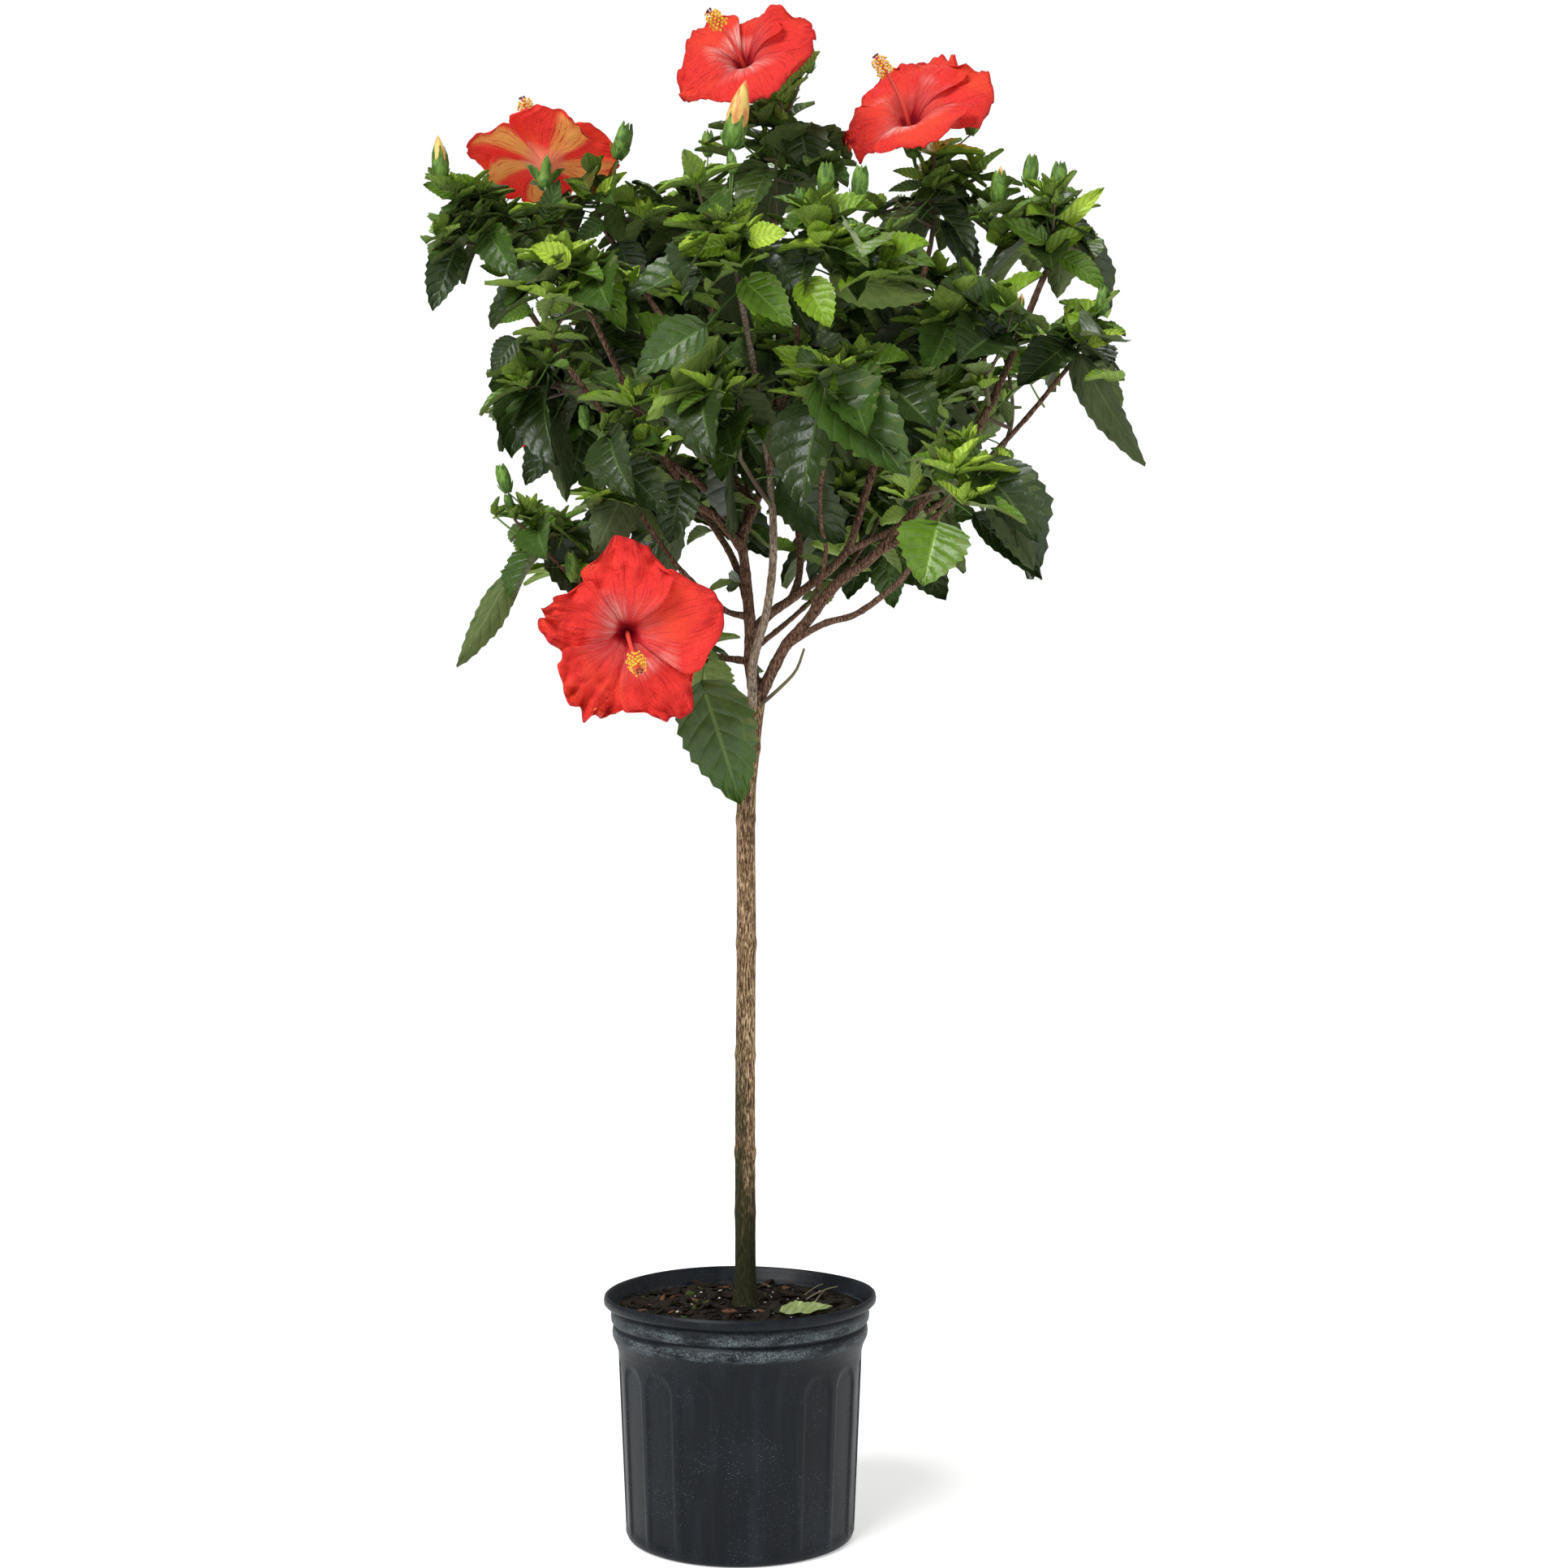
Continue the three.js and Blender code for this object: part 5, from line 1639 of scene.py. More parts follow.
# %% Shoots with a wide tuft
# (mass, share of its stem where the shoot leaves it, tip, leaves on the way, leaves of the tuft and
# their length)
SHOOTS = [
    ("front", 0.5, (-5, -196, 1204), 5, 18, 62),
    ("front", 0.8, (-40, -172, 1262), 3, 10, 44),
    ("front_fork", 0.4, (78, -196, 1204), 5, 16, 60),
    ("front_fork", 0.9, (68, -140, 1236), 3, 10, 44),
    ("left_front", 0.6, (-166, -120, 1184), 5, 18, 60),
    ("far_left", 0.8, (-258, 16, 1250), 5, 13, 52),
    ("far_left", 0.9, (-282, 30, 1262), 2, 8, 34),
    ("upper_left", 0.8, (-183, 14, 1238), 4, 12, 42),
    ("upper_left", 0.6, (-224, 40, 1240), 3, 9, 36),
    ("upper_left", 0.9, (-136, 44, 1270), 4, 11, 44),
    ("top", 0.9, (38, 2, 1340), 6, 13, 50),
    ("top", 0.95, (56, 6, 1362), 3, 8, 36),
    ("right_upper", 0.8, (182, 22, 1290), 6, 15, 54),
    ("right_upper", 0.7, (222, 40, 1272), 4, 10, 44),
    ("far_right", 0.9, (292, -40, 1236), 5, 10, 50),
    ("far_right", 0.7, (256, -26, 1222), 3, 7, 42),
    ("right_lower", 0.6, (332, -84, 1138), 5, 13, 50),
    ("right", 0.6, (226, -140, 1070), 4, 12, 48),
    ("low_right", 0.5, (200, -226, 992), 5, 15, 60),
    ("inner_left", 0.6, (-130, -92, 968), 4, 10, 40),
    ("low_left", 0.7, (-212, -74, 950), 2, 7, 28),
]
WIDE_TUFT = 15
SHOOT_BEND = (0.8, 0.35)
SHOOT_RADIUS = 1.7 * MM
SHOOT_LEAF_SIZE = 0.8
SEEDS_FOR_SHOOTS = 300
for index, (name, share, tip, on_the_way, count, length) in enumerate(SHOOTS):
    draw = seeded(SEEDS_FOR_SHOOTS + index)
    start = lines[name].at(share)
    end = seen(tip)
    shoot = bent(start, between(start, end, *SHOOT_BEND), end)
    strand(shoot, SHOOT_RADIUS, TWIG_TIP_RADIUS, 8, stem_strands)
    turn = draw() * math.tau
    for i in range(on_the_way):
        leaf_on(shoot, mix(0.3, 0.92, i / max(1, on_the_way - 1)), turn, draw, SHOOT_LEAF_SIZE)
        turn += GOLDEN_ANGLE
    greens = ("mid", "bright", "bright") if count >= WIDE_TUFT else ("mid", "fresh", "bright")
    tuft(end, shoot.heading(1), count, length * MM, draw, greens)

# %% [markdown]
# Older wood carries single small leaves too, in deep, middling and fresh greens. A dead twig stands
# out of the trunk under the fork.

# %% Small leaves on the boughs
DEAD_TWIG = [(20, -4, 776), (36, -10, 790), (52, -13, 807), (60, -14, 828)]
BOUGH_LEAF_STEP = 26 * MM
BARE_SHARE = 0.3
SMALL_STALK = 8 * MM
SEEDS_FOR_BOUGHS = 500

strand(through([seen(place) for place in DEAD_TWIG]), 2.0 * MM, 1.1 * MM, 10, stem_strands)
for index, name in enumerate(LIMBS):
    draw = seeded(SEEDS_FOR_BOUGHS + index)
    line = lines[name]
    turn = draw() * math.tau
    for i in range(1, int(line.length / BOUGH_LEAF_STEP)):
        share = i * BOUGH_LEAF_STEP / line.length
        turn += GOLDEN_ANGLE
        if name != "leader" and share < BARE_SHARE and draw() < 0.75:
            continue
        base = line.at(share)
        around = around_at(turn, mix(-0.3, 0.6, draw())).normalized()
        length = mix(18, 42, draw()) * MM
        foot = base + around * SMALL_STALK
        face = (UP + outward(base)).normalized()
        group = ("deep", "mid", "fresh", "mid")[int(draw() * 4)]
        way = (around + UP * mix(-0.5, 0.2, draw())).normalized()
        width = length * mix(0.5, 0.66, draw())
        droop = mix(0.2, 0.9, draw())
        fold = mix(0.1, 0.5, draw())
        if grow_leaf(group, foot, way, face, length, width, droop, fold, turn):
            add_stalk(base, foot, 0.8 * MM)

# %% [markdown]
# Some leaves give the crown its outline as it is seen from the front. They are placed one by one,
# from base to tip, and turn their upper side or their underside to the front.

# %% Leaves placed one by one
# (mass, base, tip, width, green, droop and, for an underside, the word under)
PLACED = [
    ("front", (3, -190, 1173), (48, -205, 1128), 40, "mid", 0.5),
    ("front_fork", (84, -172, 1178), (178, -176, 1160), 38, "mid", 0.4, "under"),
    ("left_front", (-142, -118, 1188), (-108, -138, 1124), 40, "mid", 0.5),
    ("far_left", (-265, 20, 1206), (-288, 12, 1144), 40, "dark", 0.4),
    ("far_left", (-262, 24, 1252), (-297, 20, 1262), 22, "mid", 0.3),
    ("right_lower", (314, -78, 1107), (380, -84, 1001), 36, "dark", 0.4, "under"),
    ("low_right", (185, -196, 945), (171, -214, 886), 66, "mid", 0.5),
    ("low_right", (241, -176, 995), (275, -184, 903), 41, "dark", 0.5, "under"),
    ("right_inner", (72, -176, 1080), (158, -192, 988), 72, "deep", 0.45),
    ("inner_left", (-108, -84, 978), (-136, -94, 919), 48, "dark", 0.4, "under"),
    ("low_left", (-216, -74, 898), (-266, -80, 812), 31, "deep", 0.5, "under"),
    ("low_front", (-36, -52, 797), (0, -50, 682), 76, "deep", 0.4),
    ("left", (-196, 50, 1112), (-214, 34, 1006), 64, "dark", 0.4),
    ("left", (-174, 34, 1044), (-163, 26, 966), 28, "dark", 0.3, "under"),
    ("right", (192, -112, 1110), (256, -120, 1120), 50, "dark", 0.3),
    ("front_low", (-20, -150, 1122), (-88, -168, 1044), 36, "fresh", 0.5, "under"),
    ("low_right", (218, -150, 953), (282, -160, 892), 30, "dark", 0.4),
    ("right_inner", (154, -130, 1056), (160, -136, 1002), 50, "dark", 0.4),
    ("right_inner", (174, -124, 1108), (142, -132, 1064), 36, "dark", 0.5),
    ("front", (-32, -164, 1130), (-96, -160, 1084), 46, "deep", 0.5),
    ("inner_left", (-54, -90, 984), (-66, -96, 926), 44, "dark", 0.5),
    ("left_front", (-210, -60, 1118), (-232, -58, 1088), 26, "dark", 0.5),
    ("front_fork", (60, -180, 1172), (84, -190, 1128), 38, "fresh", 0.5),
    ("far_right", (298, -60, 1220), (341, -66, 1259), 20, "bright", 0.3),
    ("far_right", (287, -64, 1200), (330, -70, 1222), 21, "fresh", 0.4),
    ("far_right", (300, -62, 1195), (341, -66, 1162), 26, "mid", 1.0),
    ("far_right", (286, -70, 1208), (245, -76, 1228), 24, "mid", 0.5),
    ("right_lower", (326, -98, 1112), (361, -102, 1125), 16, "bright", 0.3),
    ("right_lower", (324, -100, 1116), (303, -104, 1142), 22, "fresh", 0.3),
    ("upper_left", (-114, 60, 1208), (-96, 54, 1160), 42, "dark", 0.5),
    ("upper_left", (-182, 10, 1229), (-169, 4, 1267), 23, "deep", 0.3),
    ("upper_left", (-141, 14, 1250), (-163, 8, 1267), 15, "fresh", 0.4),
    ("upper_left", (-134, 14, 1252), (-106, 10, 1274), 13, "bright", 0.3),
    ("front", (-14, -214, 1206), (-52, -222, 1196), 26, "fresh", 0.6),
    ("front", (8, -214, 1210), (44, -222, 1216), 26, "bright", 0.6),
    ("left_front", (-160, -150, 1188), (-196, -156, 1204), 26, "bright", 0.5),
    ("low_right", (214, -250, 988), (262, -256, 1000), 24, "bright", 0.5),
    ("upper_left", (-127, 30, 1227), (-154, 26, 1208), 22, "deep", 0.5),
    ("far_left", (-197, 20, 1146), (-227, 16, 1132), 18, "mid", 0.4),
    ("far_left", (-220, 30, 1178), (-244, 26, 1186), 13, "mid", 0.4),
    ("right_upper", (172, 30, 1269), (143, 28, 1275), 13, "mid", 0.3),
    ("right_upper", (170, 30, 1262), (139, 28, 1256), 13, "deep", 0.3),
]
FORWARD = Vector((0, -1, 0.25)).normalized()
PLACED_FOLD = 0.22
for name, base, tip, width, group, droop, *turned in PLACED:
    start = seen(base)
    reach = seen(tip) - start
    length = reach.length * (droop / 2) / math.sin(droop / 2)
    face = -FORWARD if turned else FORWARD
    way = reach.normalized()
    side = way.cross(face).normalized()
    raised = Matrix.Rotation(droop / 2, 3, side) @ way
    shape = (length, width * MM, droop, PLACED_FOLD, width)
    grow_leaf(group, start, raised, face, *shape, wanted=True)
    line = lines[name]
    root = min((line.at(i / 12) for i in range(1, 13)), key=lambda point: (point - start).length)
    add_stalk(root, start, 1.1 * MM, 0.05)

# %% [markdown]
# One pale leaf has dropped onto the soil in front of the trunk, and a few dried twigs lie beside it.

# %% The fallen leaf
# foot, tip and how far the tip stands above the soil, in millimetres
DRIED_TWIGS = [((62, 26), (92, 34), 13), ((70, 20), (84, 46), 9), ((58, 34), (78, 30), 16)]
FALLEN_LEAF = (36, -66)


def above_soil(x, y, rise):
    return Vector((x * MM, y * MM, soil_height(x * MM, y * MM) + rise * MM))


for foot, tip, rise in DRIED_TWIGS:
    start = above_soil(*foot, 1)
    end = above_soil(*tip, rise)
    strand(bent(start, (start + end) / 2 + UP * 4 * MM, end), 1.0 * MM, 0.6 * MM, 6, stem_strands)
base = above_soil(*FALLEN_LEAF, 8)
way = Vector((1, 0.1, -0.06)).normalized()
face = Vector((0, -0.2, 1)).normalized()
grow_leaf("fallen", base, way, face, 50 * MM, 30 * MM, -0.3, 0.25, 2.0, wanted=True)
print("leaves:", {group: [len(kinds["broad"]), len(kinds["young"])] for group, kinds in leaves.items()})

# %% [markdown]
# ## The masses made of leaves
# Each green is one piece for its broad leaves and one for its young ones. Together they stand for the
# engineering model's masses: the broad dark ones are named as taking their place.

# %% Leaf pieces
frame_masses = [f"leaves_{name}" for name in MASSES]
for group, kinds in leaves.items():
    for kind, copies in kinds.items():
        if not copies:
            continue
        pattern = broad_leaf if kind == "broad" else young_leaf
        piece = as_one(f"{kind}_leaves_{group}", pattern, copies, *leaf_finishes[group])
        hand_over(piece, "foliage", *(frame_masses if (kind, group) == ("broad", "dark") else ()))

# %% [markdown]
# The stems and twigs are brown wood that is green in places, and the short shoots are green all over.
# They are so thin that a section of few sides is enough.

# %% Stems and shoots
stem_wood = Finish("stem_bark", (0.1, 0.07, 0.045), 0.8)
stem_wood.mottle((1, 1, 1), 24, 0.4, 0.62, (0.085, 0.05, 0.035), (0.12, 0.12, 0.05))
stem_wood.grit(900, 0.5 * MM)
shoot_green = Finish("shoot_green", (0.12, 0.22, 0.04), 0.5, specular=0.2)
hand_over(thick_lines("twig_wood", stem_strands, 1, stem_wood), "bark")
hand_over(thick_lines("green_shoots", twig_strands, 1, shoot_green), "foliage")

# %% [markdown]
# ## Buds
# A bud is a ribbed green oval that sits on a collar of narrow green bracts, on a stalk of its own.
# The ripest show yellow petals, rolled to a point, through the split calyx.

# %% Modelling a bud
BUD_SIDES = 10


def modelled_bud(name, profile, rib):
    """A ribbed oval along +Z, from 0 to 1. profile gives (radius, level) for each ring of a ball."""
    bpy.ops.mesh.primitive_uv_sphere_add(segments=BUD_SIDES, ring_count=len(profile) + 1, radius=1)
    bud = named(name)
    places = corners_of(bud)
    polar = np.arccos(np.clip(places[:, 2], -1, 1)) / np.pi
    ring = np.round((1 - polar) * (len(profile) + 1)).astype(int)
    widths = np.array([0, *[radius for radius, _ in profile], 0])
    levels = np.array([0, *[level for _, level in profile], 1])
    turn = np.arctan2(places[:, 1], places[:, 0])
    width = widths[ring] * (1 + rib * np.cos(turn * BUD_SIDES / 2))
    move_corners(bud, np.stack([np.cos(turn) * width, np.sin(turn) * width, levels[ring]], axis=1))
    return Pattern(bud)


closed_bud = modelled_bud("closed_bud", [
    (0.13, 0.03), (0.21, 0.16), (0.25, 0.36), (0.22, 0.58), (0.13, 0.8), (0.05, 0.93),
], 0.09)
petal_roll = modelled_bud("petal_roll", [
    (0.07, 0.03), (0.15, 0.2), (0.17, 0.4), (0.14, 0.62), (0.08, 0.82), (0.03, 0.94),
], 0.12)
bract = modelled_leaf("bract", 2, 4, 0.0)
bud_green = Finish("bud_green", (0.1, 0.21, 0.035), 0.5, specular=0.2)
bud_green.mottle((1, 1, 0.5), 160, 0.38, 0.62, (0.05, 0.11, 0.018), (0.15, 0.28, 0.045))
bud_yellow = Finish("bud_petal", (0.72, 0.42, 0.08), 0.55)
bud_yellow.mottle((1, 1, 0.25), 220, 0.4, 0.64, (0.7, 0.5, 0.13), (0.62, 0.2, 0.06))

# %% [markdown]
# Bracts and sepals are narrow toothless leaves that stand round an axis in a ring. A bud's five sepals
# hug it and part a little at its tip, and the bracts of its collar spread out below them.

# %% The buds
# (what carries it, middle of the bud, length, share of its length that shows yellow, lean aside and
# back)
BUDS = [
    ("far_left", (-282, 20, 1288), 43, 0.55, (-0.06, 0)),
    ("upper_left", (-111, 20, 1302), 33, 0, (0.3, -0.1)),
    ("front", (-2, -90, 1329), 62, 0.74, (0.24, -0.1)),
    ("top", (65, 4, 1378), 22, 0, (0.1, 0)),
    ("front", (-8, -130, 1282), 18, 0, (-0.1, 0)),
    ("front_fork", (80, -120, 1265), 30, 0, (0.05, 0)),
    ("front_fork", (112, -110, 1262), 30, 0, (0.1, 0)),
    ("front_fork", (56, -130, 1245), 24, 0, (0, 0)),
    ("right_upper", (218, 20, 1322), 27, 0, (0.2, 0)),
    ("far_right", (243, -40, 1262), 36, 0.35, (0.05, 0)),
    ("far_right", (272, -50, 1274), 28, 0, (0.1, 0)),
    ("far_right", (298, -56, 1266), 30, 0, (0.1, 0)),
    ("right_lower", (339, -90, 1153), 24, 0, (0.1, 0)),
    ("low_left", (-221, -70, 986), 25, 0, (-0.3, 0)),
    ("low_left", (-216, -70, 963), 17, 0, (-0.3, 0)),
    ("inner_left", (-146, -80, 1044), 20, 0, (-0.1, 0)),
    ("bough_low_left", (-157, -80, 904), 27, 0.1, (-0.15, 0)),
    ("back_top", (-30, 170, 1300), 26, 0, (0, 0.2)),
    ("back_right", (262, 190, 1150), 26, 0.5, (0.2, 0.2)),
    ("back_left", (-150, 220, 1180), 24, 0, (-0.2, 0.2)),
    ("back_upper_right", (150, 180, 1240), 26, 0, (0.1, 0.2)),
    ("back", (60, 240, 1150), 24, 0, (0, 0.3)),
]
bud_copies, tip_copies, bract_copies = [], [], []


def off_axis(axis, turn):
    """The way at right angles to an axis, turned round it by an angle."""
    return Matrix.Rotation(turn, 3, axis) @ axis.orthogonal().normalized()


def basis_along(axis, turn=0.0):
    """Rows: two axes across, turned by an angle, and the axis itself."""
    first = off_axis(axis, turn)
    return [list(first), list(axis.cross(first)), list(axis)]


def add_ring(foot, axis, count, turn, radius, lean, length, width, droop, fold):
    """Bracts round an axis, which start off it by a radius and lean away from it."""
    for i in range(count):
        around = off_axis(axis, turn + i * math.tau / count)
        way = (axis + around * lean).normalized()
        start = foot + around * radius
        bract_copies.append(bent_leaf(bract, start, way, -around, length, width, droop, fold, i))


def add_collar(foot, axis, turn, radius, lean, length):
    add_ring(foot, axis, 7, turn, radius, lean, length, length * 0.16, -0.5, 0.3)


for carrier, middle, length, ripe, lean in BUDS:
    axis = Vector((*lean, 1)).normalized()
    size = length * MM
    foot = seen(middle) - axis * size * 0.5
    root = lines[carrier].at(1 if carrier in MASSES else 0.9)
    basis = basis_along(axis, length)
    green = size * (1 - 0.7 * ripe)
    girth = size * mix(0.96, 0.6, ripe)
    bud_copies.append(turned_copy(closed_bud, foot, basis, (girth, girth, green * 1.05)))
    hold = size * mix(1, 0.72, ripe)
    sepal = (green * mix(1.12, 1.35, ripe), hold * 0.38, -0.82, 0.45)
    add_ring(foot, axis, 5, length + 0.3, hold * 0.13, 0.44, *sepal)
    if ripe:
        start = foot + axis * size * 0.12
        basis = basis_along(axis, length + 0.4)
        tip_copies.append(turned_copy(petal_roll, start, basis, (size * 0.95, size * 0.95, size * 0.88)))
    add_collar(foot, axis, length, size * 0.1, math.tan(0.75), green * 0.45)
    add_stalk(root, foot, 0.95 * MM, 0.1)

hand_over(as_one("buds", closed_bud, bud_copies, bud_green), "foliage")
hand_over(as_one("bud_tips", petal_roll, tip_copies, bud_yellow), "petals")

# %% [markdown]
# ## Blooms
# Five broad petals twist out of a deep throat, each lying over the next on one side, with ruffled
# rims and fine veins that fan out from the throat. A petal is a grid whose corners are worked out
# in petal lengths: its outline, its trumpet curve out of the throat, its twist and its crumples.

# %% The shape of a petal


def petal_corners(share, across, longer, rise, wider, frill, twist, seed):
    """Places of a petal's corners in petal lengths: along it, beside its middle and up the axis."""
    width = 0.09 + 0.45 * smoothstep(0, 0.6, share) - 0.18 * smoothstep(0.72, 1, share)
    scallops = 1 + 0.02 * frill * share ** 3 * np.sin(across * 8 + seed + 2 * np.sin(across * 3 + seed))
    along = longer * share * (1 - 0.24 * np.abs(across) ** 2.5 * share) * scallops
    beside = wider * across * width * (1 + 0.03 * frill * np.sin(share * 14 + seed))
    out = np.hypot(along, beside)
    lift = -0.32 + 0.44 * (1 - np.exp(-out / 0.16))
    lift += (rise - 0.12) * (out / longer) ** 1.8
    lift += twist * across * smoothstep(0.05, 0.45, out)
    lift += 0.01 * share * (1 - share ** 4) * np.sin(across * 22 + 3 * np.sin(share * 4 + seed))
    rim = share ** 6 + 0.7 * np.abs(across) ** 5 * share ** 1.5
    lift += 0.036 * frill * rim * np.sin(across * 12 + 2.5 * np.sin(across * 4 + seed) + 8 * share)
    for i in range(len(out)):
        spot = Vector((along[i] * 2.4, beside[i] * 3.2, seed * 1.7))
        lift[i] += noise.noise(spot) * 0.1 * out[i] ** 1.6
        lift[i] += noise.noise(spot * 2.9) * 0.1 * frill * out[i] ** 2.5
        lift[i] += noise.noise(spot * 6) * 0.035 * frill * out[i] ** 2
    return along, beside, lift


# %% [markdown]
# A petal's tip is given as it shows from the front. The line of sight to it is cut with the bloom's
# plane, which gives the petal's way and length. Solidify then gives it a front and a back.

# %% Making a petal
PETAL_ROWS = 26
PETAL_COLUMNS = 30
PETAL_THICKNESS = 0.5 * MM


def petal_frame(middle, axis, tip_across, tip_height, rise):
    """The way from the throat towards a petal's tip, the petal's length and its tip's rise."""
    sight = (seen((tip_across, 0, tip_height)) - EYE).normalized()
    distance = (rise * MM + (middle - EYE).dot(axis)) / sight.dot(axis)
    flat = EYE + sight * distance - middle - axis * rise * MM
    return flat.normalized(), flat.length, rise * MM


def make_petal(name, bloom, index):
    _, _, throat, faces, size, _, shapes = BLOOMS[bloom]
    middle = seen(throat)
    _, _, axis = bloom_axes(faces)
    petal = charted_grid(name, PETAL_COLUMNS, PETAL_ROWS, "PetalMap")
    grid = corners_of(petal)
    seed = index * 2.3 + throat[0] * 0.17
    unit = PETAL_LENGTH * size
    middle_way, reach, rise = petal_frame(middle, axis, *shapes[index][:3])
    side_way = middle_way.cross(axis)
    form = (reach / unit, rise / unit, *shapes[index][3:], seed)
    along, beside, lift = petal_corners((grid[:, 1] + 1) / 2, grid[:, 0], *form)
    parts = ((along * unit, middle_way), (beside * unit, side_way), (lift * unit, axis))
    move_corners(petal, laid_out(middle, *parts))
    coat(petal, petal_front, petal_back)
    solidify = petal.modifiers.new("thickness", "SOLIDIFY")
    solidify.thickness = PETAL_THICKNESS
    solidify.offset = 0
    solidify.material_offset = 1
    pick(petal)
    bpy.ops.object.modifier_apply(modifier="thickness")
    smooth(petal)
    return petal


# %% [markdown]
# The petals' red deepens to crimson in the throat, with a pale star of streaks round it, and a darker
# crimson along the rim is painted shade. The backs are paler, with an orange band down one side, and
# glow with painted light that stands for light shining through the petals. Veins fan out along the
# petal's chart.

# %% Petal finishes
PETAL_RED = (0.72, 0.03, 0.02)


def petal_finish(name, back):
    finish = Finish(name, PETAL_RED, 0.6, specular=0.2)
    chart = finish.chart("PetalMap")
    across = finish.chart("PetalMap", 0)
    along = finish.chart("PetalMap", 1)
    fan = finish.add("ShaderNodeMapping", {}, {"Vector": chart, "Scale": (1.0, 0.06, 1)})
    veins = finish.noise(fan, 46, 4, 0.6)
    crumple = finish.noise(chart, 9, 4, 0.7)
    patches = finish.noise(finish.place(), 16, 2, 0.5)
    color = finish.blend(veins.step(0.3, 0.5), (0.44, 0.008, 0.014), (0.72, 0.03, 0.023))
    color = finish.blend(patches.step(0.46, 0.66) * 0.6, color, (0.82, 0.07, 0.026))
    # Painted shade: a darker crimson along the petal's curled rim.
    color = finish.blend(along.step(0.94, 1.0) * 0.6, color, (0.4, 0.006, 0.016))
    if back:
        band = across.step(0.52, 0.38) * across.step(0.04, 0.14)
        ragged = (veins + patches * 0.3).step(0.42, 0.72)
        stretch = along.step(0.12, 0.3) * along.step(0.97, 0.88)
        color = finish.blend(band * ragged * stretch, color, (0.76, 0.31, 0.08))
        color = finish.blend(along.step(0.34, 0.14) * 0.5, color, (0.8, 0.36, 0.2))
        # Painted light: the back gives off its own colour as light, which stands for light shining through
        # the thin petal.
        finish.set("Emission Color", color)
        finish.set("Emission Strength", 0.4)
    else:
        streaks = finish.noise(fan, 26, 3, 0.6).step(0.42, 0.62)
        star = along.step(0.1, 0.2) * along.step(0.52, 0.2)
        one_side = finish.noise(finish.place(), 17, 1, 0.5).step(0.46, 0.62)
        crimson = along.step(0.5, 0.12) * veins.step(0.6, 0.4)
        color = finish.blend(crimson * 0.7, color, (0.5, 0.006, 0.03))
        color = finish.blend(star * (0.08 + one_side * 0.6), color, (0.87, 0.3, 0.26))
        color = finish.blend(star * streaks * (0.08 + one_side * 0.85), color, (0.94, 0.62, 0.56))
        color = finish.blend(along.step(0.16, 0.06), color, (0.36, 0.002, 0.014))
    finish.set("Base Color", color)
    finish.relief(veins * 0.4 + crumple * 1.3, 3.6 * MM, 0.9)
    return finish


petal_front = petal_finish("petal_front", back=False)
petal_back = petal_finish("petal_back", back=True)

# %% [markdown]
# All petals are joined into one piece, which stands for the engineering model's seven blooms.

# %% The petals
petal_pieces = []
for bloom, (*_, shapes) in BLOOMS.items():
    for index in range(len(shapes)):
        petal_pieces.append(make_petal(f"petal_{bloom}_{index}", bloom, index))
pick(petal_pieces[0])
for piece in petal_pieces:
    piece.select_set(True)
bpy.ops.object.join()
petals = named("petals")
add_bake_chart(petals, "PetalMap")
hand_over(petals, "petals", *BLOOMS)

# %% [markdown]
# The column is a slim tube that bends out of the throat. Filaments with yellow anthers stand out of
# its last fifth, a golden angle apart, and five dark red stigmas tip it.

# %% The columns
COLUMN_LENGTH = 58 * MM
COLUMN_ROWS = 10
ANTHERS = 64
ANTHER_SIZE = (1.6 * MM, 1.6 * MM, 1.25 * MM)
ANTHER_REACH = 7.8 * MM
STIGMA_SIZE = (1.25 * MM, 1.25 * MM, 1.05 * MM)
STIGMA_REACH = 5 * MM

column_strands, filament_strands = [], []
anther_copies, stigma_copies = [], []
anther = knocked("anther", 1, (1, 0.75, 0.75), 0.3, 2)
stigma = knocked("stigma", 1, (1, 1, 1), 0.2, 4)


def add_column(foot, axis, aim, reach, size, draw):
    tip = foot + aim * (COLUMN_LENGTH * size + reach * 0.3)
    line = bent(foot, foot + axis * reach * 0.5, tip)
    shares = [i / COLUMN_ROWS for i in range(COLUMN_ROWS + 1)]
    widths = [mix(2.4, 1.2, share) * MM * size for share in shares]
    column_strands.append(([line.at(share) for share in shares], widths))
    heading = line.heading(0.9)
    for i in range(ANTHERS):
        place = line.at(mix(0.8, 0.97, (i + 0.5) / ANTHERS))
        side = off_axis(heading, i * GOLDEN_ANGLE)
        way = (side + heading * mix(0.1, 0.75, i / ANTHERS)).normalized()
        end = place + way * ANTHER_REACH * mix(0.75, 1.15, draw())
        filament_strands.append(([place, end], [0.3 * MM, 0.22 * MM]))
        basis = basis_along(way, draw() * math.tau)
        anther_copies.append(turned_copy(anther, end, basis, ANTHER_SIZE))
    heading = line.heading(1)
    for i in range(5):
        way = (off_axis(heading, i * math.tau / 5) * 0.55 + heading).normalized()
        end = tip + way * STIGMA_REACH
        column_strands.append(([tip - heading * MM, end], [0.45 * MM, 0.35 * MM]))
        stigma_copies.append(turned_copy(stigma, end, basis_along(way), STIGMA_SIZE))


# %% [markdown]
# Below the petals sit the calyx, a ribbed cup with five points, its collar of bracts and the stalk,
# which bends to meet the calyx from behind.

# %% The calyxes and the blooms' stalks
CALYX_SIZE = 29 * MM
SEEDS_FOR_COLUMNS = 900
STALK_WIDTHS = [1.7 * MM] * 8 + [2.3 * MM]

calyx_cup = modelled_bud("calyx_cup", [
    (0.2, 0.03), (0.34, 0.16), (0.4, 0.4), (0.43, 0.66), (0.4, 0.86), (0.2, 0.96),
], 0.06)
calyx_copies = []


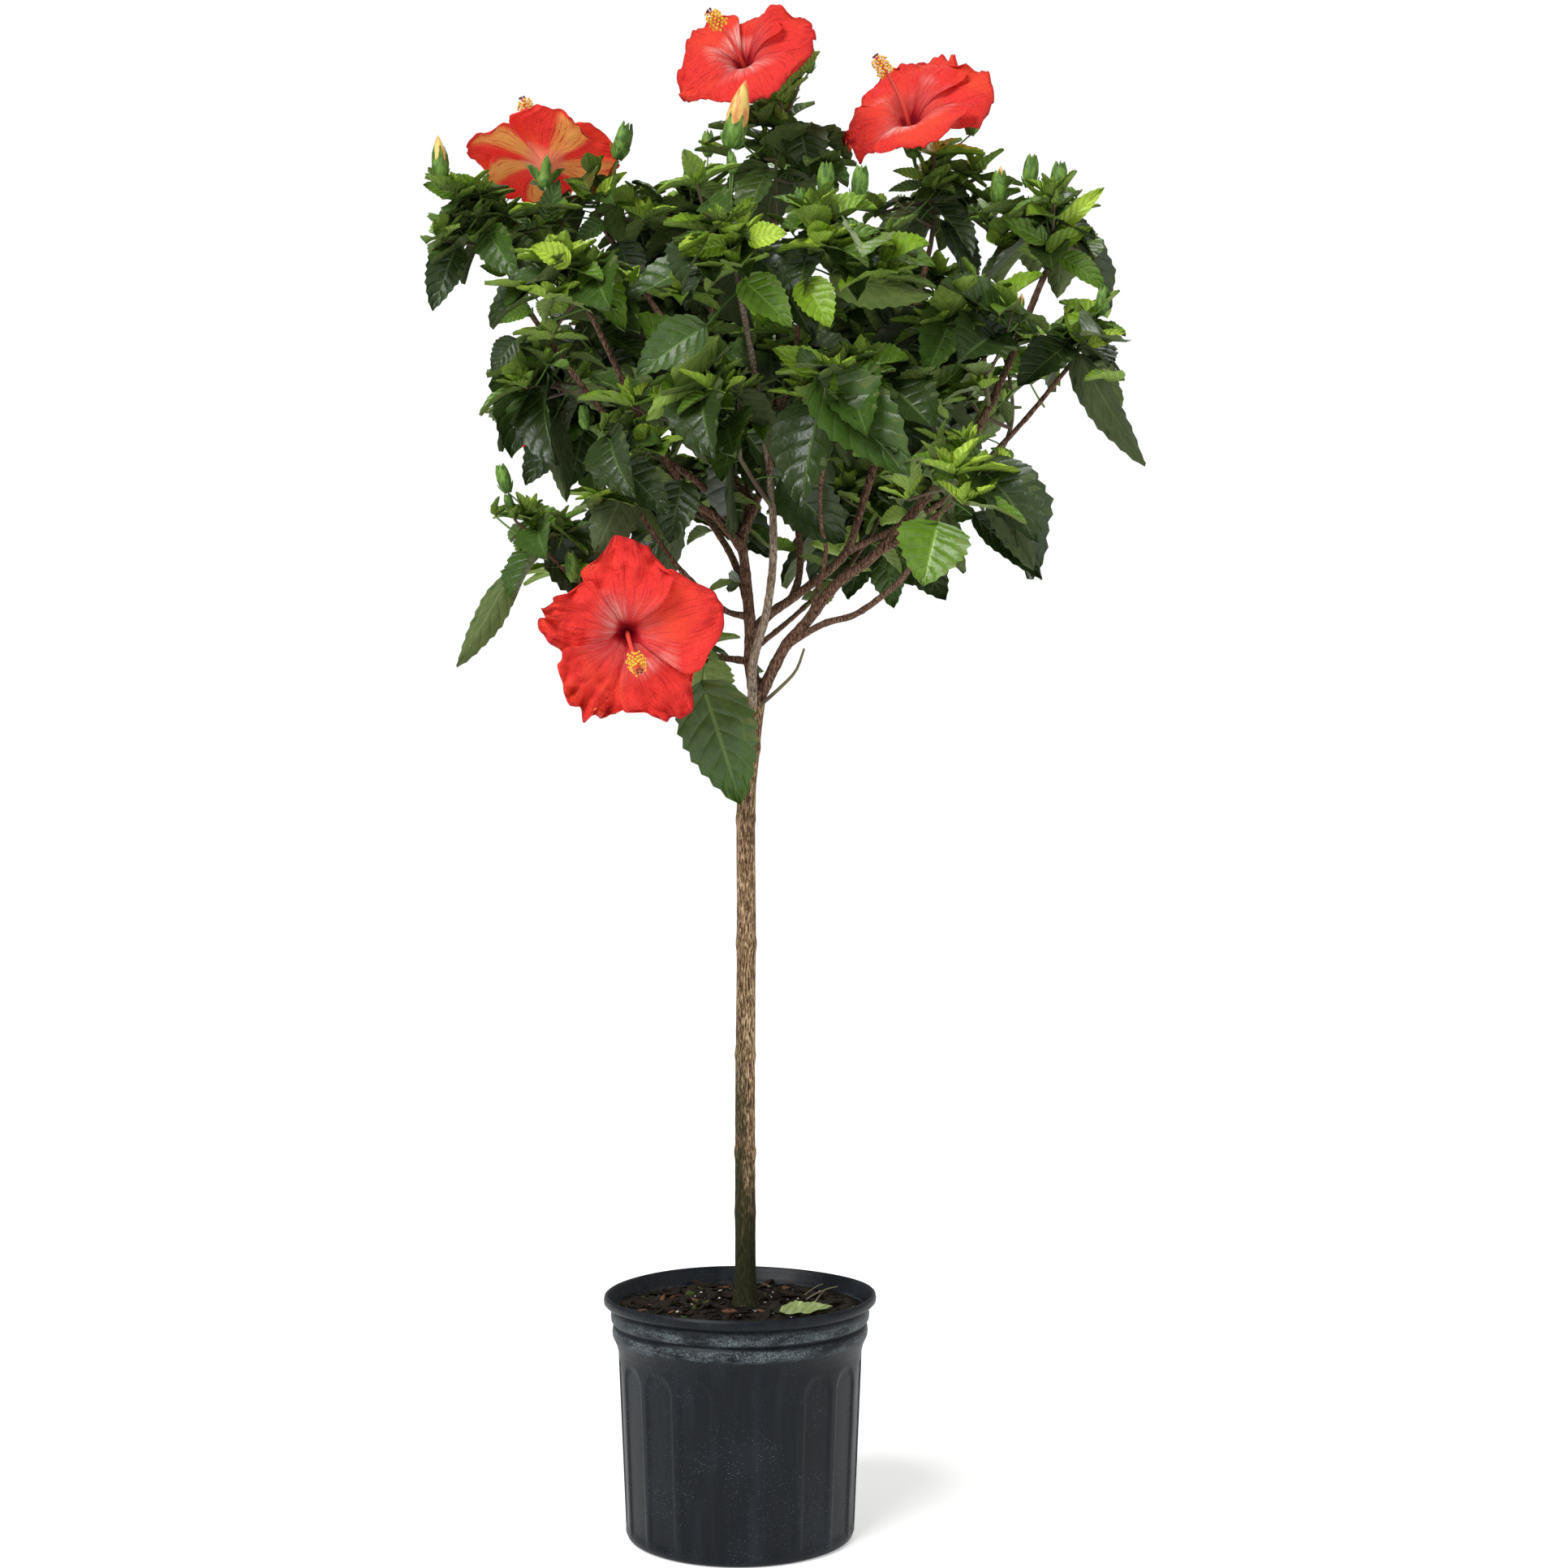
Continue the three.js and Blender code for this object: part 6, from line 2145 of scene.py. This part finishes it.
def add_calyx(foot, axis, size):
    cup = (size * 0.78, size * 0.78, size * 0.8)
    calyx_copies.append(turned_copy(calyx_cup, foot, basis_along(axis), cup))
    add_collar(foot, axis, 0, 2.5 * MM, math.tan(0.7), 14 * MM)
    point = (size * 0.74, size * 0.42, 0.2, 0.25)
    add_ring(foot + axis * size * 0.4, axis, 5, 0.3, size * 0.3, 0.66, *point)


for carrier, share, throat, faces, size, lean, _ in BLOOMS.values():
    draw = seeded(SEEDS_FOR_COLUMNS + len(column_strands))
    _, _, axis = bloom_axes(faces)
    reach = PETAL_LENGTH * size
    middle = seen(throat)
    aim = (axis + Vector(lean)).normalized()
    add_column(middle - axis * reach * 0.32, axis, aim, reach, size, draw)
    foot = middle - axis * reach * 0.57
    add_calyx(foot, axis, CALYX_SIZE * size)
    root = lines[carrier].at(share)
    stalk = bent(root, foot - axis * 0.5 * (foot - root).length, foot)
    stalks.append(([stalk.at(i / 8) for i in range(9)], STALK_WIDTHS))

# %% [markdown]
# What all the blooms share becomes one piece each, and so do the stalks of leaves, buds and blooms.

# %% Pieces of the blooms and stalks
column_red = Finish("column_red", (0.75, 0.07, 0.05), 0.45)
filament_orange = Finish("filament_orange", (0.85, 0.28, 0.06), 0.5)
pollen = Finish("anther_yellow", (0.86, 0.52, 0.04), 0.75)
pollen.grit(1800, 0.4 * MM, 2)
stigma_red = Finish("stigma_red", (0.12, 0.004, 0.01), 0.7)
stalk_green = Finish("stalk_green", (0.09, 0.17, 0.035), 0.45, specular=0.2)
hand_over(thick_lines("columns", column_strands, 3, column_red), "petals")
hand_over(thick_lines("filaments", filament_strands, 0, filament_orange), "petals")
hand_over(as_one("anthers", anther, anther_copies, pollen), "petals")
hand_over(as_one("stigmas", stigma, stigma_copies, stigma_red), "petals")
hand_over(as_one("calyxes", calyx_cup, calyx_copies, bud_green), "foliage")
hand_over(as_one("bracts", bract, bract_copies, bud_green, bud_green), "foliage")
hand_over(thick_lines("leaf_stalks", stalks, 1, stalk_green), "foliage")
